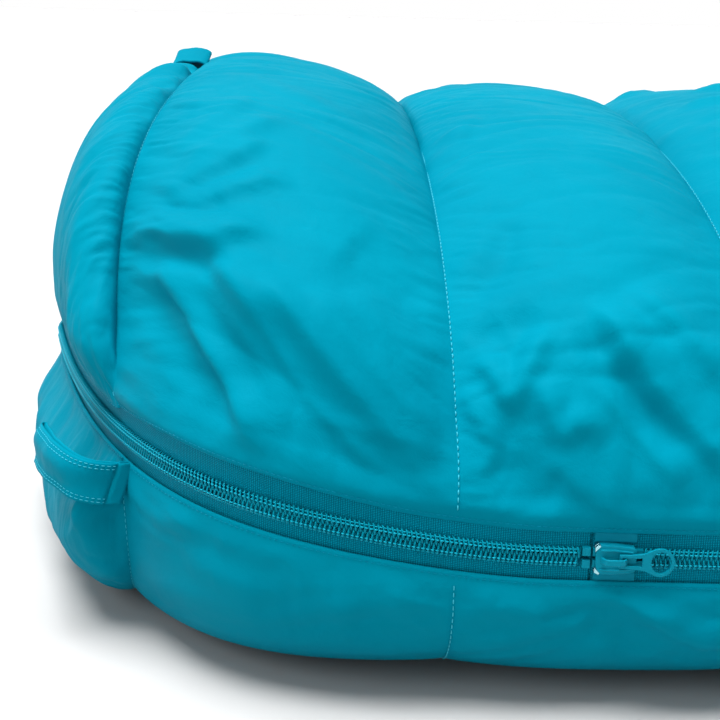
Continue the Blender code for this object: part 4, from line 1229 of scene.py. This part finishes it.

# %% [markdown]
# ## Stops, pins and film
# Where the side zip starts, a moulded pin on each tape lets the two halves part, and a welded film
# stiffens the tape. The top stops of the side zip and the end stop of the foot zip are bare metal, tinted
# cyan-white as a painted glint, and the two stops beside the near slider are painted. The solid parts are
# already right for the stops and pins, so those get a bevel and a finish.

# %% Small hardware
for node, material in (("side_zip_insert_pin", painted_zinc), ("side_zip_retainer_pin", painted_zinc),
                       ("side_zip_top_stop_upper", bare_metal_painted_glint), ("side_zip_top_stop_lower", bare_metal_painted_glint),
                       ("foot_zip_stop_upper", painted_zinc), ("foot_zip_stop_lower", painted_zinc),
                       ("foot_zip_end_stop", bare_metal_painted_glint)):
    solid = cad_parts[node]
    solid.data.materials.clear()
    solid.data.materials.append(material)
    soften = solid.modifiers.new("soft_edges", "BEVEL")
    soften.width = 0.35 * MM
    soften.segments = 3


def make_film(name, sign):
    track = side_track(SIDE_START + 0.6 * MM, SIDE_START + 14.0 * MM, 0.5 * MM)
    rise = np.linspace(5.0, 11.2, 14) * MM
    wave = 0.05 * MM * ripple(np.arange(len(track[0]))[:, None] / 5.0, rise[None] / (2.0 * MM), 91)
    front = track[0][:, None] + sign * UP * rise[None, :, None]
    front = front + track[1][:, None] * (0.75 * MM + wave)[..., None]
    back = front - track[1][:, None] * 0.35 * MM
    make_sheet(name, np.concatenate([front, back[:, ::-1]], 1), film_plastic, closed=True)


def make_zip_backing():
    """A short piece of tape that joins the ends of the two zips from behind."""
    points, out = side_track(0.188, 0.214, 1.0 * MM)
    rise = np.linspace(-11.5, 11.5, 12) * MM
    front = points[:, None] + UP * rise[None, :, None] - out[:, None] * 0.8 * MM
    ring = np.concatenate([front, (front - out[:, None] * 0.5 * MM)[:, ::-1]], 1)
    make_sheet("zip_backing", ring, tape_weave, together(ring[..., 0], ring[..., 2], 0.0), closed=True)


make_zip_backing()
make_film("film_upper", 1.0)
make_film("film_lower", -1.0)

# %% [markdown]
# ## The two loops
# A wide band of shell cloth, folded in two and sewn into the foot seam under the zip, hangs the quilt up
# to dry. It is free at its fold, so it stands off the foot and twists. A small loop of the same cloth
# sits on the crest.

# %% Hang loop and top loop
HANG_LOOP_WIDE, HANG_LOOP_LONG = 15.0 * MM, 47.0 * MM


def thicken(piece, thickness, offset):
    thick = piece.modifiers.new("cloth_thickness", "SOLIDIFY")
    thick.thickness = thickness
    thick.offset = offset


def hang_loop_line(count):
    drop = 9.0 * MM + 7.5 * MM
    rise = (21.0 * MM / (OVERFILL_BELOW * zip_height(FOOT_SEAM))) ** (1.0 / FLATNESS_BELOW)
    turns = np.linspace(TAU - math.asin(rise), TAU - math.radians(60.0), 80)
    swing = np.arccos(np.clip(drop / panel_rise(turns), 0.0, 1.0))
    surface = foot_panel(turns, swing)
    surface[:, 2] = surface[0, 2]
    line = read_off(np.linspace(0.0, HANG_LOOP_LONG, count), lengths(surface), surface)
    for _ in range(60):
        line[1:-1] = 0.5 * line[1:-1] + 0.25 * (line[:-2] + line[2:])
    off = outward(line)
    share = np.linspace(0.0, 1.0, count)[:, None]
    line = line + off * (4.2 * MM + 7.0 * MM * smooth(share) + 4.0 * MM * share * (1.0 - share))
    line[:, 2] += 2.0 * MM * share[:, 0]
    return line, outward(line)


def make_hang_loop():
    count, wide = 40, 22
    centre, off = hang_loop_line(count)
    reach = unit(np.gradient(centre, axis=0))
    bend = [centre[-1] + reach[-1] * 1.0 * MM * math.cos(a) + off[-1] * 1.0 * MM * math.sin(a)
            for a in np.linspace(math.pi / 2, -math.pi / 2, 9)[1:-1]]
    path = np.array([*(centre + off * 1.0 * MM), *bend, *(centre - off * 1.0 * MM)[::-1]])
    share = np.linspace(-0.5, 0.5, wide)
    edge_up = np.array([5.0 * MM, 0.0, HANG_LOOP_WIDE])
    run = lengths(path)
    distance = np.minimum(run, run[-1] - run)
    grid = path[:, None] + share[None, :, None] * edge_up
    buckle = 0.9 * MM * ripple(distance[:, None] / (9.0 * MM), share[None] * 2.2 + 5.0, 95)
    buckle = buckle + 1.5 * MM * np.sin(share[None] * 5.0 + 0.6) * smooth(distance / (30.0 * MM))[:, None]
    sag = 3.0 * MM * smooth((distance - 6.0 * MM) / (30.0 * MM))
    front = np.concatenate([off, np.repeat(off[-1:], 7, 0), off[::-1]])
    grid = grid + front[:, None] * (buckle * smooth(distance / (6.0 * MM))[:, None])[..., None]
    grid[..., 2] += sag[:, None]
    flat = together(run[:, None], HANG_LOOP_WIDE * share, 0.0)
    band = make_sheet("hang_loop_band", grid, shell_cloth, flat)
    thicken(band, 0.45 * MM, 0.0)
    for k, at in enumerate((0.44, 0.36, -0.44, -0.36)):
        column = np.array([[np.interp(at, share, grid[i, :, c]) for c in range(3)] for i in range(count)])
        stitch_row(f"hang_loop_thread_{k + 1}", column, off, **HEM_STITCH, raise_by=0.3 * MM)


def make_top_loop():
    crest_turn = np.array([0.25 * TAU])
    seam = foot_seam(crest_turn)
    outer, _ = shell_and_lining(seam, 0.0 * seam, crest_turn)
    crest = place(seam, outer)[0]
    centre = crest + np.array([-5.0 * MM, 0.0, 6.0 * MM])
    angle = TAU * np.arange(49) / 48 - 0.5 * math.pi
    across = np.linspace(-5.2, 5.2, 12) * MM
    wave = 1.0 + 0.05 * np.sin(3.0 * angle)
    grid = together(centre[0] + (8.0 * MM * np.cos(angle) * wave)[:, None] + 0.18 * across[None],
                    centre[1] + across[None],
                    centre[2] + (3.2 * MM * np.sin(angle) * wave)[:, None] + 0.55 * across[None])
    grid = grid + 0.35 * MM * ripple(angle[:, None] * 2.0, across[None] / (3.0 * MM), 97)[..., None]
    band = make_sheet("top_loop_band", grid, shell_cloth, together(7.0 * MM * angle[:, None], across, 0.0))
    thicken(band, 0.8 * MM, -1.0)


make_hang_loop()
make_top_loop()
print("loops made;", len(pieces), "pieces in all")

# %% [markdown]
# ## Which solid each piece stands for
# The solid parts carry the joints and the collisions. Each detailed piece rides on the body that it
# belongs to and takes the place of the plain solids there.

# %% Ride and replace
SLIDING = {f"{name}_{kind}_casting": f"{name}_{kind}" for name in PLACES for kind in ("slider", "pull")}
SLIDING.update({f"{name}_slider_casting_worn_lips": f"{name}_slider" for name in PLACES})
for name, piece in pieces.items():
    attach(piece, SLIDING.get(name, "quilt"))


for index in range(1, CHAMBER_COUNT + 1):
    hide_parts("outer_shell", f"down_fill_{index:02d}")
    if index < CHAMBER_COUNT:
        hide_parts(f"baffle_wall_{index:02d}")
for half in ("upper", "lower"):
    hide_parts(f"foot_shell_{half}", f"foot_fill_{half}")
    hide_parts(f"foot_lining_{half}")
    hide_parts(f"film_patch_{half}")
    for zip_name in ("side", "foot"):
        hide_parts(f"{zip_name}_zip_tape_{half}")
        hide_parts(f"{zip_name}_zip_coil_{half}")
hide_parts("lining")
for name, node in (("head_binding", "head_hem_binding"), ("hang_loop_band", "hang_loop"),
                   ("top_loop_band", "top_loop")):
    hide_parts(node)
for name, node in SLIDING.items():
    if not name.endswith("worn_lips"):
        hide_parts(node)
